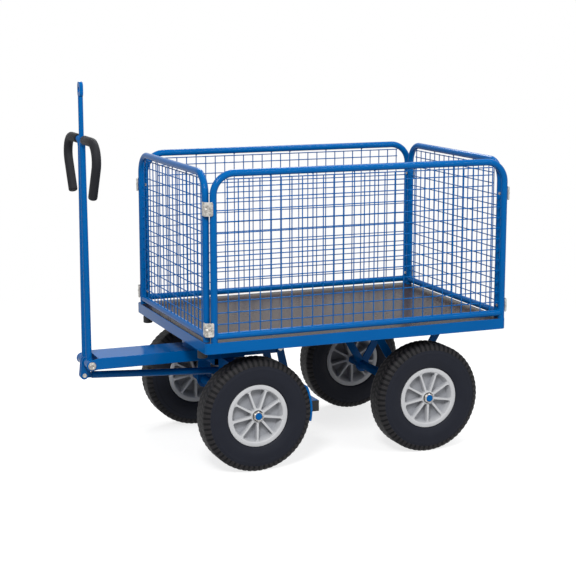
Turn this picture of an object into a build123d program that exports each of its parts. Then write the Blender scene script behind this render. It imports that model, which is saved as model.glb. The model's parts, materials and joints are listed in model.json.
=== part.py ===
from build123d import *
from math import atan2, cos, floor, hypot, pi, radians, sin, sqrt
import os

os.makedirs("parts", exist_ok=True)

# Mesh-sided platform trolley: a deck in a steel frame with four mesh panels, a fixed rear
# axle, and a front axle on a turntable that a drawbar steers and brakes.
# Sizes are in millimetres. +X runs forward to the drawbar, +Y to the left, +Z up.
# The origin is on the floor under the middle of the whole trolley.
# Places along X are given from the middle of the bed and moved by bed_x.

# Bed
bed_length = 1194.0
bed_width = 830.0
bed_top = 493.0
frame_height = 40.0
frame_wall = 4.0
frame_flange = 30.0
frame_corner = 15.0
deck_thick = 18.0
deck_gap = 1.0
bearer_width = 40.0
bearer_wall = 2.5

# Mesh panels
tube_d = 25.0
tube_wall = 2.0
panel_height = 602.5
bend_r = 76.0
rail_d = 24.0
rail_gap = 8.5
spigot_d = 10.0
spigot_length = 24.0
spigot_plug = 6.0
spigot_gap = 0.3
side_inset = 14.0
side_front_inset = 37.0
side_rear_inset = 14.0
front_inset = 15.5
front_upright_inset = 35.0
rear_inset = 14.0
rear_upright_inset = 44.0
wire_d = 4.0
wire_pitch = 40.0
wire_margin = 38.0
wire_gap = 0.05
weld_gap = 0.1
weld_step = 4
edge_drop = 6.0

# Corner clips
clip_height = 49.0
clip_thick = 3.0
clip_face = 15.0
clip_wing = 20.0
clip_bend = 45.0
clip_gap = 0.3
clip_low = 47.0
clip_high = 470.0
clip_screw_d = 4.6
clip_head_d = 11.0
clip_head = 4.0
clip_nut_depth = 8.3
clip_hole_gap = 0.2

# Wheels
wheel_r = 206.0
tyre_width = 104.0
tyre_wall = 9.0
tyre_bead = 16.0
tread_width = 76.0
shoulder_drop = 19.0
shoulder_width = 98.0
rim_r = 113.5
rim_face = 40.0
rim_ring = 15.0
rim_lip = 6.0
rim_seat_r = 103.0
rim_web = 8.0
rim_web_out = 8.5
rim_slope = 0.5
spoke_count = 9
spoke_hub = 14.0
spoke_rim = 6.0
spoke_step = 2.0
spoke_bite = 1.0
hub_r = 24.0
hub_recess_r = 20.5
hub_recess = 13.0
bush_wall = 3.5
bead_gap = 0.3
bead_step = 3.0
half_track = 343.0
front_axle_x = 391.0
rear_axle_x = -292.0
axle_d = 35.0
stub_d = 25.0
stub_reach = 51.5
stub_chamfer = 1.5
hub_gap = 1.0
collar_r = 18.7
collar_length = 22.0
running_gap = 0.05

# Rear axle struts
strut_y = 205.0
strut_spread = 150.0
strut_width = 30.0
strut_thick = 8.0
strut_boss_r = 29.0
fit_gap = 0.02

# Turntable
table_r = 150.0
table_width = 26.0
table_plate = 6.0
table_split = 3.0
ball_d = 12.0
ball_count = 30
ball_gap = 0.1
king_d = 20.0
king_head_r = 16.0
king_head = 11.0
king_nut = 14.0
king_play = 0.5
bearer_spread = 110.0

# Drawbar arm and hinge
arm_width = 150.0
arm_top = 394.0
arm_height = 42.0
arm_wall = 5.0
arm_rear = 328.0
arm_plate_front = 888.0
hinge_x = 914.0
hinge_z = 368.0
ear_r = 20.0
barrel_r = 18.0
barrel_wall = 5.0
barrel_gap = 0.5
hinge_bolt_d = 16.0
hinge_washer_r = 14.5
hinge_washer = 3.0
hinge_head_r = 13.0
hinge_head = 9.0
hinge_tail = 4.0
hinge_bush = 22.0
spring_wire = 2.6
spring_turns = 14

# Drawbar
post_d = 22.0
post_spread = 60.0
post_close = 23.0
post_bend_z = 1139.0
horn_z = 1181.0
horn_root_r = 30.0
horn_r = 62.0
horn_corner_y = 240.0
horn_end_y = 140.0
horn_end_z = 988.0
grip_d = 33.0
grip_start_y = 42.0
grip_cap = 6.0
eye_z = 1357.0
eye_length = 56.0
eye_width = 34.0
eye_thick = 13.0
eye_hole_d = 20.0
eye_rod_d = 18.0
eye_rod_foot = 1142.0

# Brake
lever_dx = 13.0
lever_dz = -48.0
lever_eye_r = 15.0
lever_hub_r = 23.0
lever_thick = 6.0
lever_gap = 1.0
pin_d = 10.0
pin_head_r = 8.0
pin_head = 3.0
rod_d = 26.0
rod_wall = 3.0
rod_eye_r = 13.0
rod_eye_thick = 10.0
rod_eye_width = 20.0
rod_neck = 30.0
rod_washer_r = 16.0
rod_rear_x = 172.0
rod_rear_z = 277.0
beam_size = 40.0
beam_wall = 3.0
beam_z = 209.0
beam_half = 338.0
cap_thick = 5.0
shoe_gap = 1.0
shoe_thick = 8.0
shoe_width = 66.0
shoe_up_angle = 24.7
shoe_down_angle = 11.5
hanger_thick = 6.0
hanger_eye_r = 15.0
hanger_foot = 34.0
hanger_pin_d = 12.0
hanger_head_r = 9.0
hanger_gap = 1.0
beam_lever = 99.0
beam_share = 0.46
carrier_thick = 6.0
carrier_height = 34.0
carrier_reach = 425.0
bracket_eye_r = 19.0
bracket_foot = 36.0
bracket_gap = 1.2

# Bolster and gussets
bolster_width = 44.0
bolster_height = 48.0
bolster_half = 240.0
bolster_wall = 4.0
bolster_gap = 44.0
gusset_y = 205.0
gusset_thick = 8.0
gusset_boss_r = 30.0

# Buffers
buffer_d = 36.0
buffer_height = 28.0
buffer_inset = 17.0
buffer_side_inset = 85.0

# Places that follow from the sizes
frame_bottom = bed_top - frame_height
bearer_bottom = frame_bottom + frame_wall
deck_bottom = bed_top - deck_thick
buffer_x = bed_length / 2 - buffer_inset
buffer_y = bed_width / 2 - buffer_side_inset
tube_r = tube_d / 2
rail_r = rail_d / 2
wire_r = wire_d / 2
side_y = bed_width / 2 - side_inset
side_front = bed_length / 2 - side_front_inset
side_rear = bed_length / 2 - side_rear_inset
front_x = bed_length / 2 - front_inset
front_y = bed_width / 2 - front_upright_inset
rear_x = bed_length / 2 - rear_inset
rear_y = bed_width / 2 - rear_upright_inset
clip_inner = tube_r + clip_gap
wing_back = sin(radians(clip_bend))
wing_along = cos(radians(clip_bend))


def clip_stand(reach):
    """How far a clip's face stands out from between two uprights that its wings rest on."""
    longest = (reach + (clip_inner + clip_thick) * wing_back - clip_face / 2) / wing_along
    rest = min(clip_wing, longest)
    past = clip_face / 2 + rest * wing_along - clip_thick * wing_back - reach
    return rest * wing_back + clip_thick * wing_along + sqrt(clip_inner**2 - past**2)


rear_reach = rear_x + clip_stand((side_y - rear_y) / 2) + clip_head
front_reach = hinge_x + lever_dx + lever_eye_r
bed_x = (rear_reach - front_reach) / 2
top_axis = bed_top + panel_height - tube_r
rail_axis = bed_top + rail_gap + rail_r
shoulder_r = wheel_r - shoulder_drop
hub_back = -rim_face
hub_seat = rim_face - hub_recess
bush_r = stub_d / 2 + running_gap + bush_wall
arm_bottom = arm_top - arm_height
lever_angle = atan2(lever_dz, lever_dx)
lever_reach = hypot(lever_dx, lever_dz)
rod_front_x = hinge_x + lever_dx
rod_front_z = hinge_z + lever_dz
beam_x = front_axle_x - wheel_r - shoe_gap - shoe_thick - beam_size / 2
beam_top = beam_z + beam_size / 2


def place(x, y, z):
    return (bed_x + x, y, z)


def side_plane(y):
    return Plane(place(0, y, 0), x_dir=(1, 0, 0), z_dir=(0, -1, 0))


# Angle-steel frame with bent corners: an upright wall all round and a flange at its foot.
with BuildPart() as bed_frame:
    with BuildSketch(Plane(place(0, 0, frame_bottom))):
        RectangleRounded(bed_length, bed_width, frame_corner)
        RectangleRounded(
            bed_length - 2 * frame_wall, bed_width - 2 * frame_wall, frame_corner - frame_wall,
            mode=Mode.SUBTRACT,
        )
    extrude(amount=frame_height)
    with BuildSketch(Plane(place(0, 0, frame_bottom))):
        RectangleRounded(bed_length, bed_width, frame_corner)
        Rectangle(bed_length - 2 * frame_flange, bed_width - 2 * frame_flange, mode=Mode.SUBTRACT)
    extrude(amount=frame_wall)
bed_frame.part.label = "bed_frame"
export_step(bed_frame.part, "parts/bed_frame.step")

# Plywood deck, let into the frame, with holes for the panels' spigots.
upright_feet = [
    (x, y * side)
    for side in (1, -1)
    for x, y in (
        (side_front, side_y), (-side_rear, side_y), (front_x, front_y), (-rear_x, rear_y),
    )
]
with BuildPart() as deck_board:
    with BuildSketch(Plane(place(0, 0, deck_bottom))):
        RectangleRounded(
            bed_length - 2 * (frame_wall + deck_gap), bed_width - 2 * (frame_wall + deck_gap),
            frame_corner - frame_wall - deck_gap,
        )
        with Locations(*upright_feet):
            Circle(spigot_d / 2 + spigot_gap, mode=Mode.SUBTRACT)
    extrude(amount=deck_thick)
deck_board.part.label = "deck_board"
export_step(deck_board.part, "parts/deck_board.step")

# Flat tubes across the bed: they lie on the frame's flanges and carry the deck.
bearer_places = (
    front_axle_x + bearer_spread,
    front_axle_x - bearer_spread,
    rear_axle_x + strut_spread,
    rear_axle_x - strut_spread,
)
bearer_height = deck_bottom - bearer_bottom
with BuildPart() as cross_bearers:
    bearer_half = bed_width / 2 - frame_wall - deck_gap
    for bearer_x in bearer_places:
        with BuildSketch(side_plane(bearer_half)):
            with Locations((bearer_x, bearer_bottom + bearer_height / 2)):
                Rectangle(bearer_width, bearer_height)
                Rectangle(
                    bearer_width - 2 * bearer_wall, bearer_height - 2 * bearer_wall,
                    mode=Mode.SUBTRACT,
                )
        extrude(amount=2 * bearer_half)
cross_bearers.part.label = "cross_bearers"
export_step(cross_bearers.part, "parts/cross_bearers.step")


# Panel tube: an upside-down U with a lower rail, and a spigot in the foot of each upright.
def panel_tube(plane, half):
    with BuildPart() as tube:
        with BuildLine(plane) as path:
            FilletPolyline(
                (-half, bed_top), (-half, top_axis), (half, top_axis), (half, bed_top),
                radius=bend_r,
            )
        foot = Plane(path.line @ 0, z_dir=path.line % 0)
        rail_end = Plane(plane.from_local_coords((-half, rail_axis, 0)), z_dir=plane.x_dir)
        with BuildSketch(foot):
            Circle(tube_r)
        sweep(path=path.line)
        with BuildSketch(rail_end):
            Circle(rail_r)
        extrude(amount=2 * half)
        with BuildSketch(rail_end):
            Circle(rail_r - tube_wall)
        extrude(amount=2 * half, mode=Mode.SUBTRACT)
        with BuildSketch(foot):
            Circle(tube_r - tube_wall)
        sweep(path=path.line, mode=Mode.SUBTRACT)
        with BuildSketch(
            Plane(plane.from_local_coords((-half, bed_top, 0)), z_dir=(0, 0, 1)),
            Plane(plane.from_local_coords((half, bed_top, 0)), z_dir=(0, 0, 1)),
        ):
            Circle(tube_r - tube_wall / 2)
        extrude(amount=spigot_plug)
        with BuildSketch(
            Plane(plane.from_local_coords((-half, bed_top - spigot_length, 0)), z_dir=(0, 0, 1)),
            Plane(plane.from_local_coords((half, bed_top - spigot_length, 0)), z_dir=(0, 0, 1)),
        ):
            Circle(spigot_d / 2)
        extrude(amount=spigot_length + spigot_plug)
    return tube.part


# Panel mesh: upright wires in one layer and level wires in the next. The upright wires stand
# on the rail, and every few of them run past the mesh's edge wire to the tube at the top.
# The level wires run to the uprights, but stop at the mesh's corners near the bends.
bend_z = top_axis - bend_r
mesh_limit = top_axis - tube_r - weld_gap
mesh_top = mesh_limit - edge_drop
mesh_bottom = rail_axis + rail_r + weld_gap
row_count = floor((mesh_top - mesh_bottom) / wire_pitch)
first_row = (mesh_top + mesh_bottom - (row_count - 1) * wire_pitch) / 2
mesh_corner_r = bend_r - tube_r - weld_gap


def wire_columns(half):
    count = floor((2 * half - 2 * wire_margin) / wire_pitch)
    return [(i - count / 2) * wire_pitch for i in range(count + 1)]


def column_top(x, half, highest):
    past = max(abs(x) + wire_r - (half - bend_r), 0)
    return min(highest, bend_z + sqrt(mesh_corner_r**2 - past**2))


def row_half(z, half):
    past = max(z + wire_r - bend_z, 0)
    reach = half - bend_r + sqrt(mesh_corner_r**2 - past**2)
    if z > bend_z - tube_d:
        reach = min(reach, wire_columns(half)[-1] + wire_r)
    return reach


def panel_mesh(plane, half):
    layer = wire_r + wire_gap / 2
    columns = wire_columns(half)
    rows = [first_row + i * wire_pitch for i in range(row_count)]
    rows.append(mesh_top - wire_r)
    with BuildPart() as mesh:
        for i, x in enumerate(columns):
            welded = min(i, len(columns) - 1 - i) % weld_step == 0
            highest = mesh_limit if welded else mesh_top
            with BuildSketch(
                Plane(plane.from_local_coords((x, mesh_bottom, layer)), z_dir=(0, 0, 1))
            ):
                Circle(wire_r)
            extrude(amount=column_top(x, half, highest) - mesh_bottom, clean=False)
        for z in rows:
            with BuildSketch(
                Plane(plane.from_local_coords((0, z, -layer)), z_dir=plane.x_dir)
            ):
                Circle(wire_r)
            extrude(amount=row_half(z, half), both=True, clean=False)
    return mesh.part


# Four panels round the deck. Each one lies in a plane whose x runs along the panel.
side_middle = (side_front - side_rear) / 2
panels = (
    ("front", place(front_x, 0, 0), (0, 1, 0), (1, 0, 0), front_y),
    ("left", place(side_middle, side_y, 0), (-1, 0, 0), (0, 1, 0), (side_front + side_rear) / 2),
    ("rear", place(-rear_x, 0, 0), (0, -1, 0), (-1, 0, 0), rear_y),
    ("right", place(side_middle, -side_y, 0), (1, 0, 0), (0, -1, 0), (side_front + side_rear) / 2),
)
for panel_name, panel_origin, panel_along, panel_out, panel_half in panels:
    panel_plane = Plane(panel_origin, x_dir=panel_along, z_dir=panel_out)
    tube_part = panel_tube(panel_plane, panel_half)
    tube_part.label = panel_name + "_panel_tube"
    export_step(tube_part, "parts/" + tube_part.label + ".step")
    mesh_part = panel_mesh(panel_plane, panel_half)
    mesh_part.label = panel_name + "_panel_mesh"
    export_step(mesh_part, "parts/" + mesh_part.label + ".step")

# Where the two uprights of each corner stand: the end panel's one and the side panel's one.
corners = [
    (Vector(place(end_x, end_y * side, 0)), Vector(place(x, side_y * side, 0)))
    for side in (1, -1)
    for end_x, end_y, x in ((front_x, front_y, side_front), (-rear_x, rear_y, -side_rear))
]
bed_middle = Vector(place(0, 0, 0))
clip_places = []
for end_upright, side_upright in corners:
    clip_centre = (end_upright + side_upright) * 0.5
    clip_along = (side_upright - end_upright).normalized()
    clip_out = clip_along.cross(Vector(0, 0, 1))
    if clip_out.dot(clip_centre - bed_middle) < 0:
        clip_out = clip_out * -1
    clip_front = clip_stand((side_upright - end_upright).length / 2)
    for clip_z in (clip_low, clip_high):
        clip_base = clip_centre + Vector(0, 0, bed_top + clip_z)
        clip_plane = Plane(clip_base, x_dir=clip_out, z_dir=(0, 0, 1))
        clip_places.append((clip_plane, clip_front))

# Corner clips: a plate across the corner, with both edges bent back to rest on the uprights.
bend_share = sin(radians(clip_bend / 2)) / cos(radians(clip_bend / 2))
with BuildPart() as corner_clips:
    for clip_plane, clip_front in clip_places:
        wing_x = clip_front - clip_wing * wing_back
        wing_y = clip_face / 2 + clip_wing * wing_along
        half_outline = [
            (clip_front, clip_face / 2),
            (wing_x, wing_y),
            (wing_x - clip_thick * wing_along, wing_y - clip_thick * wing_back),
            (clip_front - clip_thick, clip_face / 2 - clip_thick * bend_share),
        ]
        outline = half_outline + [(x, -y) for x, y in reversed(half_outline)]
        with BuildSketch(clip_plane.offset(-clip_height / 2)):
            Polygon(*outline, align=None)
        extrude(amount=clip_height)
        with BuildSketch(Plane(clip_plane.origin, z_dir=clip_plane.x_dir)):
            Circle(clip_screw_d / 2 + clip_hole_gap)
        extrude(amount=clip_front, mode=Mode.SUBTRACT)
corner_clips.part.label = "corner_clips"
export_step(corner_clips.part, "parts/corner_clips.step")

# Clip screws: a round head outside, a shank between the uprights and a nut in their valley.
with BuildPart() as clip_screws:
    for clip_plane, clip_front in clip_places:
        screw_plane = Plane(clip_plane.origin, z_dir=clip_plane.x_dir)
        nut_plane = screw_plane.offset(-clip_nut_depth - clip_head)
        with BuildSketch(nut_plane):
            Circle(clip_screw_d / 2)
        extrude(amount=clip_nut_depth + clip_head + clip_front)
        with BuildSketch(screw_plane.offset(clip_front), nut_plane):
            Circle(clip_head_d / 2)
        extrude(amount=clip_head)
clip_screws.part.label = "clip_screws"
export_step(clip_screws.part, "parts/clip_screws.step")

# Rubber buffers under the front rail.
with BuildPart() as frame_buffers:
    with BuildSketch(Plane(place(0, 0, frame_bottom - buffer_height))):
        with Locations((buffer_x, buffer_y), (buffer_x, -buffer_y)):
            Circle(buffer_d / 2)
    extrude(amount=buffer_height)
frame_buffers.part.label = "frame_buffers"
export_step(frame_buffers.part, "parts/frame_buffers.step")


# Axle: a thick bar between the wheels with a thinner stub at each end.
axle_shoulder = half_track + hub_back - hub_gap
stub_end = half_track + stub_reach


def axle(x):
    with BuildPart() as bar:
        with BuildSketch(side_plane(0)):
            with Locations((x, wheel_r)):
                Circle(axle_d / 2)
        extrude(amount=axle_shoulder, both=True)
        with BuildSketch(side_plane(0)):
            with Locations((x, wheel_r)):
                Circle(stub_d / 2)
        extrude(amount=stub_end, both=True)
        ends = bar.faces().sort_by(Axis.Y)
        chamfer(ends[0].edges() + ends[-1].edges(), stub_chamfer)
    return bar.part


# Collars on the stubs, in the hubs' outer recesses.
def axle_collars(x):
    collar_foot = half_track + hub_seat + hub_gap / 2
    with BuildPart() as collars:
        with BuildSketch(side_plane(collar_foot), side_plane(-collar_foot - collar_length)):
            with Locations((x, wheel_r)):
                Circle(collar_r)
                Circle(stub_d / 2, mode=Mode.SUBTRACT)
        extrude(amount=-collar_length)
    return collars.part


for axle_name, axle_x in (("front", front_axle_x), ("rear", rear_axle_x)):
    axle_part = axle(axle_x)
    axle_part.label = axle_name + "_axle"
    export_step(axle_part, "parts/" + axle_part.label + ".step")
    collar_part = axle_collars(axle_x)
    collar_part.label = axle_name + "_axle_collars"
    export_step(collar_part, "parts/" + collar_part.label + ".step")


# Rear struts: two flat bars from the axle's boss up to a pair of bearers.
def rear_strut(y):
    rise = bearer_bottom - wheel_r
    slant = hypot(rise, strut_spread)
    half = strut_width / 2 * slant / rise
    with BuildPart() as strut:
        with BuildSketch(side_plane(y)):
            with Locations((rear_axle_x, wheel_r)):
                Circle(strut_boss_r)
            for side in (1, -1):
                top_x = rear_axle_x + side * strut_spread
                Polygon(
                    (rear_axle_x - half, wheel_r), (rear_axle_x + half, wheel_r),
                    (top_x + half, bearer_bottom), (top_x - half, bearer_bottom),
                    align=None,
                )
            with Locations((rear_axle_x, wheel_r)):
                Circle(axle_d / 2 + fit_gap, mode=Mode.SUBTRACT)
        extrude(amount=strut_thick / 2, both=True)
    return strut.part


for strut_name, strut_side in (("left", 1), ("right", -1)):
    strut_part = rear_strut(strut_side * strut_y)
    strut_part.label = "rear_strut_" + strut_name
    export_step(strut_part, "parts/" + strut_part.label + ".step")


# Tyre: a hollow casing with a flat tread and sloped shoulders, open towards the rim.
def tyre(plane, axis):
    bead_r = rim_seat_r + bead_gap
    bead_y = rim_face - rim_lip - bead_gap
    lip_r = rim_r + bead_gap
    lip_y = rim_face - bead_step
    bulge = tyre_width / 2
    bulge_r = (rim_r + shoulder_r) / 2
    shoulder_y = shoulder_width / 2
    tread_y = tread_width / 2
    inner_r = wheel_r - tyre_wall
    with BuildPart() as casing:
        with BuildSketch(plane):
            with BuildLine():
                Polyline((bead_r, -bead_y), (lip_r, -bead_y), (lip_r + bead_gap, -lip_y))
                ThreePointArc(
                    (lip_r + bead_gap, -lip_y), (bulge_r, -bulge), (shoulder_r, -shoulder_y),
                )
                Polyline(
                    (shoulder_r, -shoulder_y), (wheel_r, -tread_y),
                    (wheel_r, tread_y), (shoulder_r, shoulder_y),
                )
                ThreePointArc(
                    (shoulder_r, shoulder_y), (bulge_r, bulge), (lip_r + bead_gap, lip_y),
                )
                Polyline(
                    (lip_r + bead_gap, lip_y), (lip_r, bead_y), (bead_r, bead_y),
                    (bead_r, bead_y - tyre_bead),
                )
                ThreePointArc(
                    (bead_r, bead_y - tyre_bead), (bulge_r, bulge - tyre_wall),
                    (inner_r, tread_y - tyre_wall),
                )
                Line((inner_r, tread_y - tyre_wall), (inner_r, tyre_wall - tread_y))
                ThreePointArc(
                    (inner_r, tyre_wall - tread_y), (bulge_r, tyre_wall - bulge),
                    (bead_r, tyre_bead - bead_y),
                )
                Line((bead_r, tyre_bead - bead_y), (bead_r, -bead_y))
            make_face()
        revolve(axis=axis)
    return casing.part


# Rim: hub, web and flanged barrel in one moulding, with tapered spokes on both faces.
def rim(plane, axis, face_plane, side):
    ring_r = rim_r - rim_ring
    web_out = rim_web_out + rim_web / 2
    web_in = rim_web_out - rim_web / 2
    spoke_face = rim_face - spoke_step
    floor_out = ring_r - (rim_face - web_out) * rim_slope
    floor_in = ring_r - (rim_face + web_in) * rim_slope
    root_r = hub_recess_r + spoke_bite
    tip_r = ring_r + spoke_bite
    with BuildPart() as moulding:
        with BuildSketch(plane):
            Polygon(
                (bush_r, side * hub_back), (hub_r, side * hub_back), (hub_r, side * web_in),
                (floor_in, side * web_in), (ring_r, -side * rim_face), (rim_r, -side * rim_face),
                (rim_r, -side * (rim_face - rim_lip)), (rim_seat_r, -side * (rim_face - rim_lip)),
                (rim_seat_r, side * (rim_face - rim_lip)), (rim_r, side * (rim_face - rim_lip)),
                (rim_r, side * rim_face), (ring_r, side * rim_face), (floor_out, side * web_out),
                (hub_r, side * web_out), (hub_r, side * rim_face), (hub_recess_r, side * rim_face),
                (hub_recess_r, side * hub_seat), (bush_r, side * hub_seat),
                align=None,
            )
        revolve(axis=axis)
        with BuildSketch(face_plane):
            with PolarLocations(0, spoke_count, start_angle=-90):
                Polygon(
                    (root_r, -spoke_hub / 2), (tip_r, -spoke_rim / 2),
                    (tip_r, spoke_rim / 2), (root_r, spoke_hub / 2),
                    align=None,
                )
        extrude(amount=spoke_face, both=True)
    return moulding.part


# Bush: the plastic sleeve in the hub that runs on the axle's stub.
def bush(face_plane, side):
    with BuildPart() as sleeve:
        with BuildSketch(face_plane.offset(-side * hub_back)):
            Circle(bush_r)
            Circle(stub_d / 2 + running_gap, mode=Mode.SUBTRACT)
        extrude(amount=-side * (hub_seat - hub_back))
    return sleeve.part


for wheel_name, wheel_x, wheel_side in (
    ("front_left", front_axle_x, 1),
    ("front_right", front_axle_x, -1),
    ("rear_left", rear_axle_x, 1),
    ("rear_right", rear_axle_x, -1),
):
    wheel_centre = place(wheel_x, wheel_side * half_track, wheel_r)
    wheel_plane = Plane(wheel_centre, x_dir=(1, 0, 0), z_dir=(0, 0, 1))
    wheel_face = Plane(wheel_centre, x_dir=(1, 0, 0), z_dir=(0, -1, 0))
    wheel_axis = Axis(wheel_centre, (0, 1, 0))
    for piece_name, piece in (
        ("tyre_", tyre(wheel_plane, wheel_axis)),
        ("rim_", rim(wheel_plane, wheel_axis, wheel_face, wheel_side)),
        ("bush_", bush(wheel_face, wheel_side)),
    ):
        piece.label = piece_name + wheel_name
        export_step(piece, "parts/" + piece.label + ".step")

# Turntable: two rings with plates, and a row of balls in the groove between them.
table_axis = Axis(place(front_axle_x, 0, 0), (0, 0, 1))
table_section = Plane(place(front_axle_x, 0, 0), x_dir=(1, 0, 0), z_dir=(0, -1, 0))
table_middle = (arm_top + bearer_bottom) / 2
race_r = table_r - table_width / 2
king_hole_r = king_d / 2 + running_gap
with BuildPart() as turntable_upper:
    with BuildSketch(table_section):
        with BuildLine():
            Polyline(
                (king_hole_r, bearer_bottom), (table_r, bearer_bottom),
                (table_r, table_middle + table_split / 2),
                (table_r - table_width, table_middle + table_split / 2),
                (table_r - table_width, bearer_bottom - table_plate),
                (king_hole_r, bearer_bottom - table_plate), close=True,
            )
        make_face()
        with Locations((race_r, table_middle)):
            Circle(ball_d / 2 + ball_gap, mode=Mode.SUBTRACT)
    revolve(axis=table_axis)
turntable_upper.part.label = "turntable_upper"
export_step(turntable_upper.part, "parts/turntable_upper.step")

with BuildPart() as turntable_lower:
    with BuildSketch(table_section):
        with BuildLine():
            Polyline(
                (king_hole_r, arm_top), (table_r, arm_top),
                (table_r, table_middle - table_split / 2),
                (table_r - table_width, table_middle - table_split / 2),
                (table_r - table_width, arm_top + table_plate),
                (king_hole_r, arm_top + table_plate), close=True,
            )
        make_face()
        with Locations((race_r, table_middle)):
            Circle(ball_d / 2 + ball_gap, mode=Mode.SUBTRACT)
    revolve(axis=table_axis)
turntable_lower.part.label = "turntable_lower"
export_step(turntable_lower.part, "parts/turntable_lower.step")

with BuildPart() as turntable_balls:
    for i in range(ball_count):
        ball_angle = 2 * pi * i / ball_count
        with Locations(
            place(front_axle_x + race_r * cos(ball_angle), race_r * sin(ball_angle), table_middle)
        ):
            Sphere(ball_d / 2)
turntable_balls.part.label = "turntable_balls"
export_step(turntable_balls.part, "parts/turntable_balls.step")

# Kingpin: the bolt through both plates and the arm, with its head above and its nut below.
king_plane = Plane(place(front_axle_x, 0, 0))
king_nut_top = arm_top - arm_wall
with BuildPart() as kingpin:
    with BuildSketch(king_plane.offset(king_nut_top - king_nut)):
        Circle(king_d / 2)
    extrude(amount=bearer_bottom + king_head - king_nut_top + king_nut)
    with BuildSketch(king_plane.offset(bearer_bottom)):
        RegularPolygon(king_head_r, 6)
    extrude(amount=king_head)
    with BuildSketch(king_plane.offset(king_nut_top - king_nut)):
        RegularPolygon(king_head_r, 6)
    extrude(amount=king_nut - king_play)
kingpin.part.label = "kingpin"
export_step(kingpin.part, "parts/kingpin.step")

# Drawbar arm: a channel folded from sheet, open below, with rounded ears round the hinge.
arm_half = arm_width / 2
with BuildPart() as drawbar_arm:
    for ear_side in (1, -1):
        with BuildSketch(side_plane(ear_side * (arm_half - arm_wall / 2))):
            Polygon(
                (arm_rear, arm_bottom), (hinge_x - ear_r, arm_bottom),
                (hinge_x, hinge_z - ear_r), (hinge_x, hinge_z + ear_r),
                (arm_plate_front, arm_top), (arm_rear, arm_top),
                align=None,
            )
            with Locations((hinge_x, hinge_z)):
                Circle(ear_r)
                Circle(hinge_bolt_d / 2 + fit_gap, mode=Mode.SUBTRACT)
        extrude(amount=arm_wall / 2, both=True)
    with BuildSketch(Plane(place(0, 0, arm_top - arm_wall))):
        with Locations(((arm_rear + arm_plate_front) / 2, 0)):
            Rectangle(arm_plate_front - arm_rear, arm_width)
        with Locations((front_axle_x, 0)):
            Circle(king_hole_r, mode=Mode.SUBTRACT)
    extrude(amount=arm_wall)
drawbar_arm.part.label = "drawbar_arm"
export_step(drawbar_arm.part, "parts/drawbar_arm.step")

# Bolster: a box tube on each side under the arm, apart in the middle for the brake rod.
bolster_z = arm_bottom - bolster_height / 2
with BuildPart() as bogie_bolster:
    for bolster_side in (1, -1):
        with BuildSketch(side_plane(bolster_side * bolster_gap / 2)):
            with Locations((front_axle_x, bolster_z)):
                Rectangle(bolster_width, bolster_height)
                Rectangle(
                    bolster_width - 2 * bolster_wall, bolster_height - 2 * bolster_wall,
                    mode=Mode.SUBTRACT,
                )
        extrude(amount=-bolster_side * (bolster_half - bolster_gap / 2))
bogie_bolster.part.label = "bogie_bolster"
export_step(bogie_bolster.part, "parts/bogie_bolster.step")

# Gussets: a plate on each side from the bolster down round the axle.
with BuildPart() as axle_gussets:
    for gusset_side in (1, -1):
        with BuildSketch(side_plane(gusset_side * gusset_y)):
            Polygon(
                (front_axle_x - gusset_boss_r, wheel_r), (front_axle_x + gusset_boss_r, wheel_r),
                (front_axle_x + bolster_width / 2, arm_bottom - bolster_height),
                (front_axle_x - bolster_width / 2, arm_bottom - bolster_height),
                align=None,
            )
            with Locations((front_axle_x, wheel_r)):
                Circle(gusset_boss_r)
                Circle(axle_d / 2 + fit_gap, mode=Mode.SUBTRACT)
        extrude(amount=gusset_thick / 2, both=True)
axle_gussets.part.label = "axle_gussets"
export_step(axle_gussets.part, "parts/axle_gussets.step")

# Hinge bolt: hexagon head on the left, shank through both ears and a thread for the nut.
washer_face = arm_half + hinge_washer
with BuildPart() as hinge_bolt:
    with BuildSketch(side_plane(washer_face)):
        with Locations((hinge_x, hinge_z)):
            Circle(hinge_bolt_d / 2)
    extrude(amount=2 * washer_face + hinge_head + hinge_tail)
    with BuildSketch(side_plane(washer_face)):
        with Locations((hinge_x, hinge_z)):
            RegularPolygon(hinge_head_r, 6)
    extrude(amount=-hinge_head)
hinge_bolt.part.label = "hinge_bolt"
export_step(hinge_bolt.part, "parts/hinge_bolt.step")

# Washers outside both ears, and the nut on the right.
with BuildPart() as hinge_washers:
    for washer_y in (washer_face, -arm_half):
        with BuildSketch(side_plane(washer_y)):
            with Locations((hinge_x, hinge_z)):
                Circle(hinge_washer_r)
                Circle(hinge_bolt_d / 2, mode=Mode.SUBTRACT)
        extrude(amount=hinge_washer)
    with BuildSketch(side_plane(-washer_face)):
        with Locations((hinge_x, hinge_z)):
            RegularPolygon(hinge_head_r, 6)
            Circle(hinge_bolt_d / 2, mode=Mode.SUBTRACT)
    extrude(amount=hinge_head)
hinge_washers.part.label = "hinge_washers"
export_step(hinge_washers.part, "parts/hinge_washers.step")

# Hinge barrel between the ears, with a bush in each end and a coil spring between them.
barrel_half = arm_half - arm_wall - barrel_gap
barrel_bore = barrel_r - barrel_wall
with BuildPart() as hinge_barrel:
    with BuildSketch(side_plane(0)):
        with Locations((hinge_x, hinge_z)):
            Circle(barrel_r)
            Circle(barrel_bore, mode=Mode.SUBTRACT)
    extrude(amount=barrel_half, both=True)
hinge_barrel.part.label = "hinge_barrel"
export_step(hinge_barrel.part, "parts/hinge_barrel.step")

with BuildPart() as hinge_bushes:
    for bush_y in (barrel_half, hinge_bush - barrel_half):
        with BuildSketch(side_plane(bush_y)):
            with Locations((hinge_x, hinge_z)):
                Circle(barrel_bore)
                Circle(hinge_bolt_d / 2 + running_gap, mode=Mode.SUBTRACT)
        extrude(amount=hinge_bush)
hinge_bushes.part.label = "hinge_bushes"
export_step(hinge_bushes.part, "parts/hinge_bushes.step")

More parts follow.
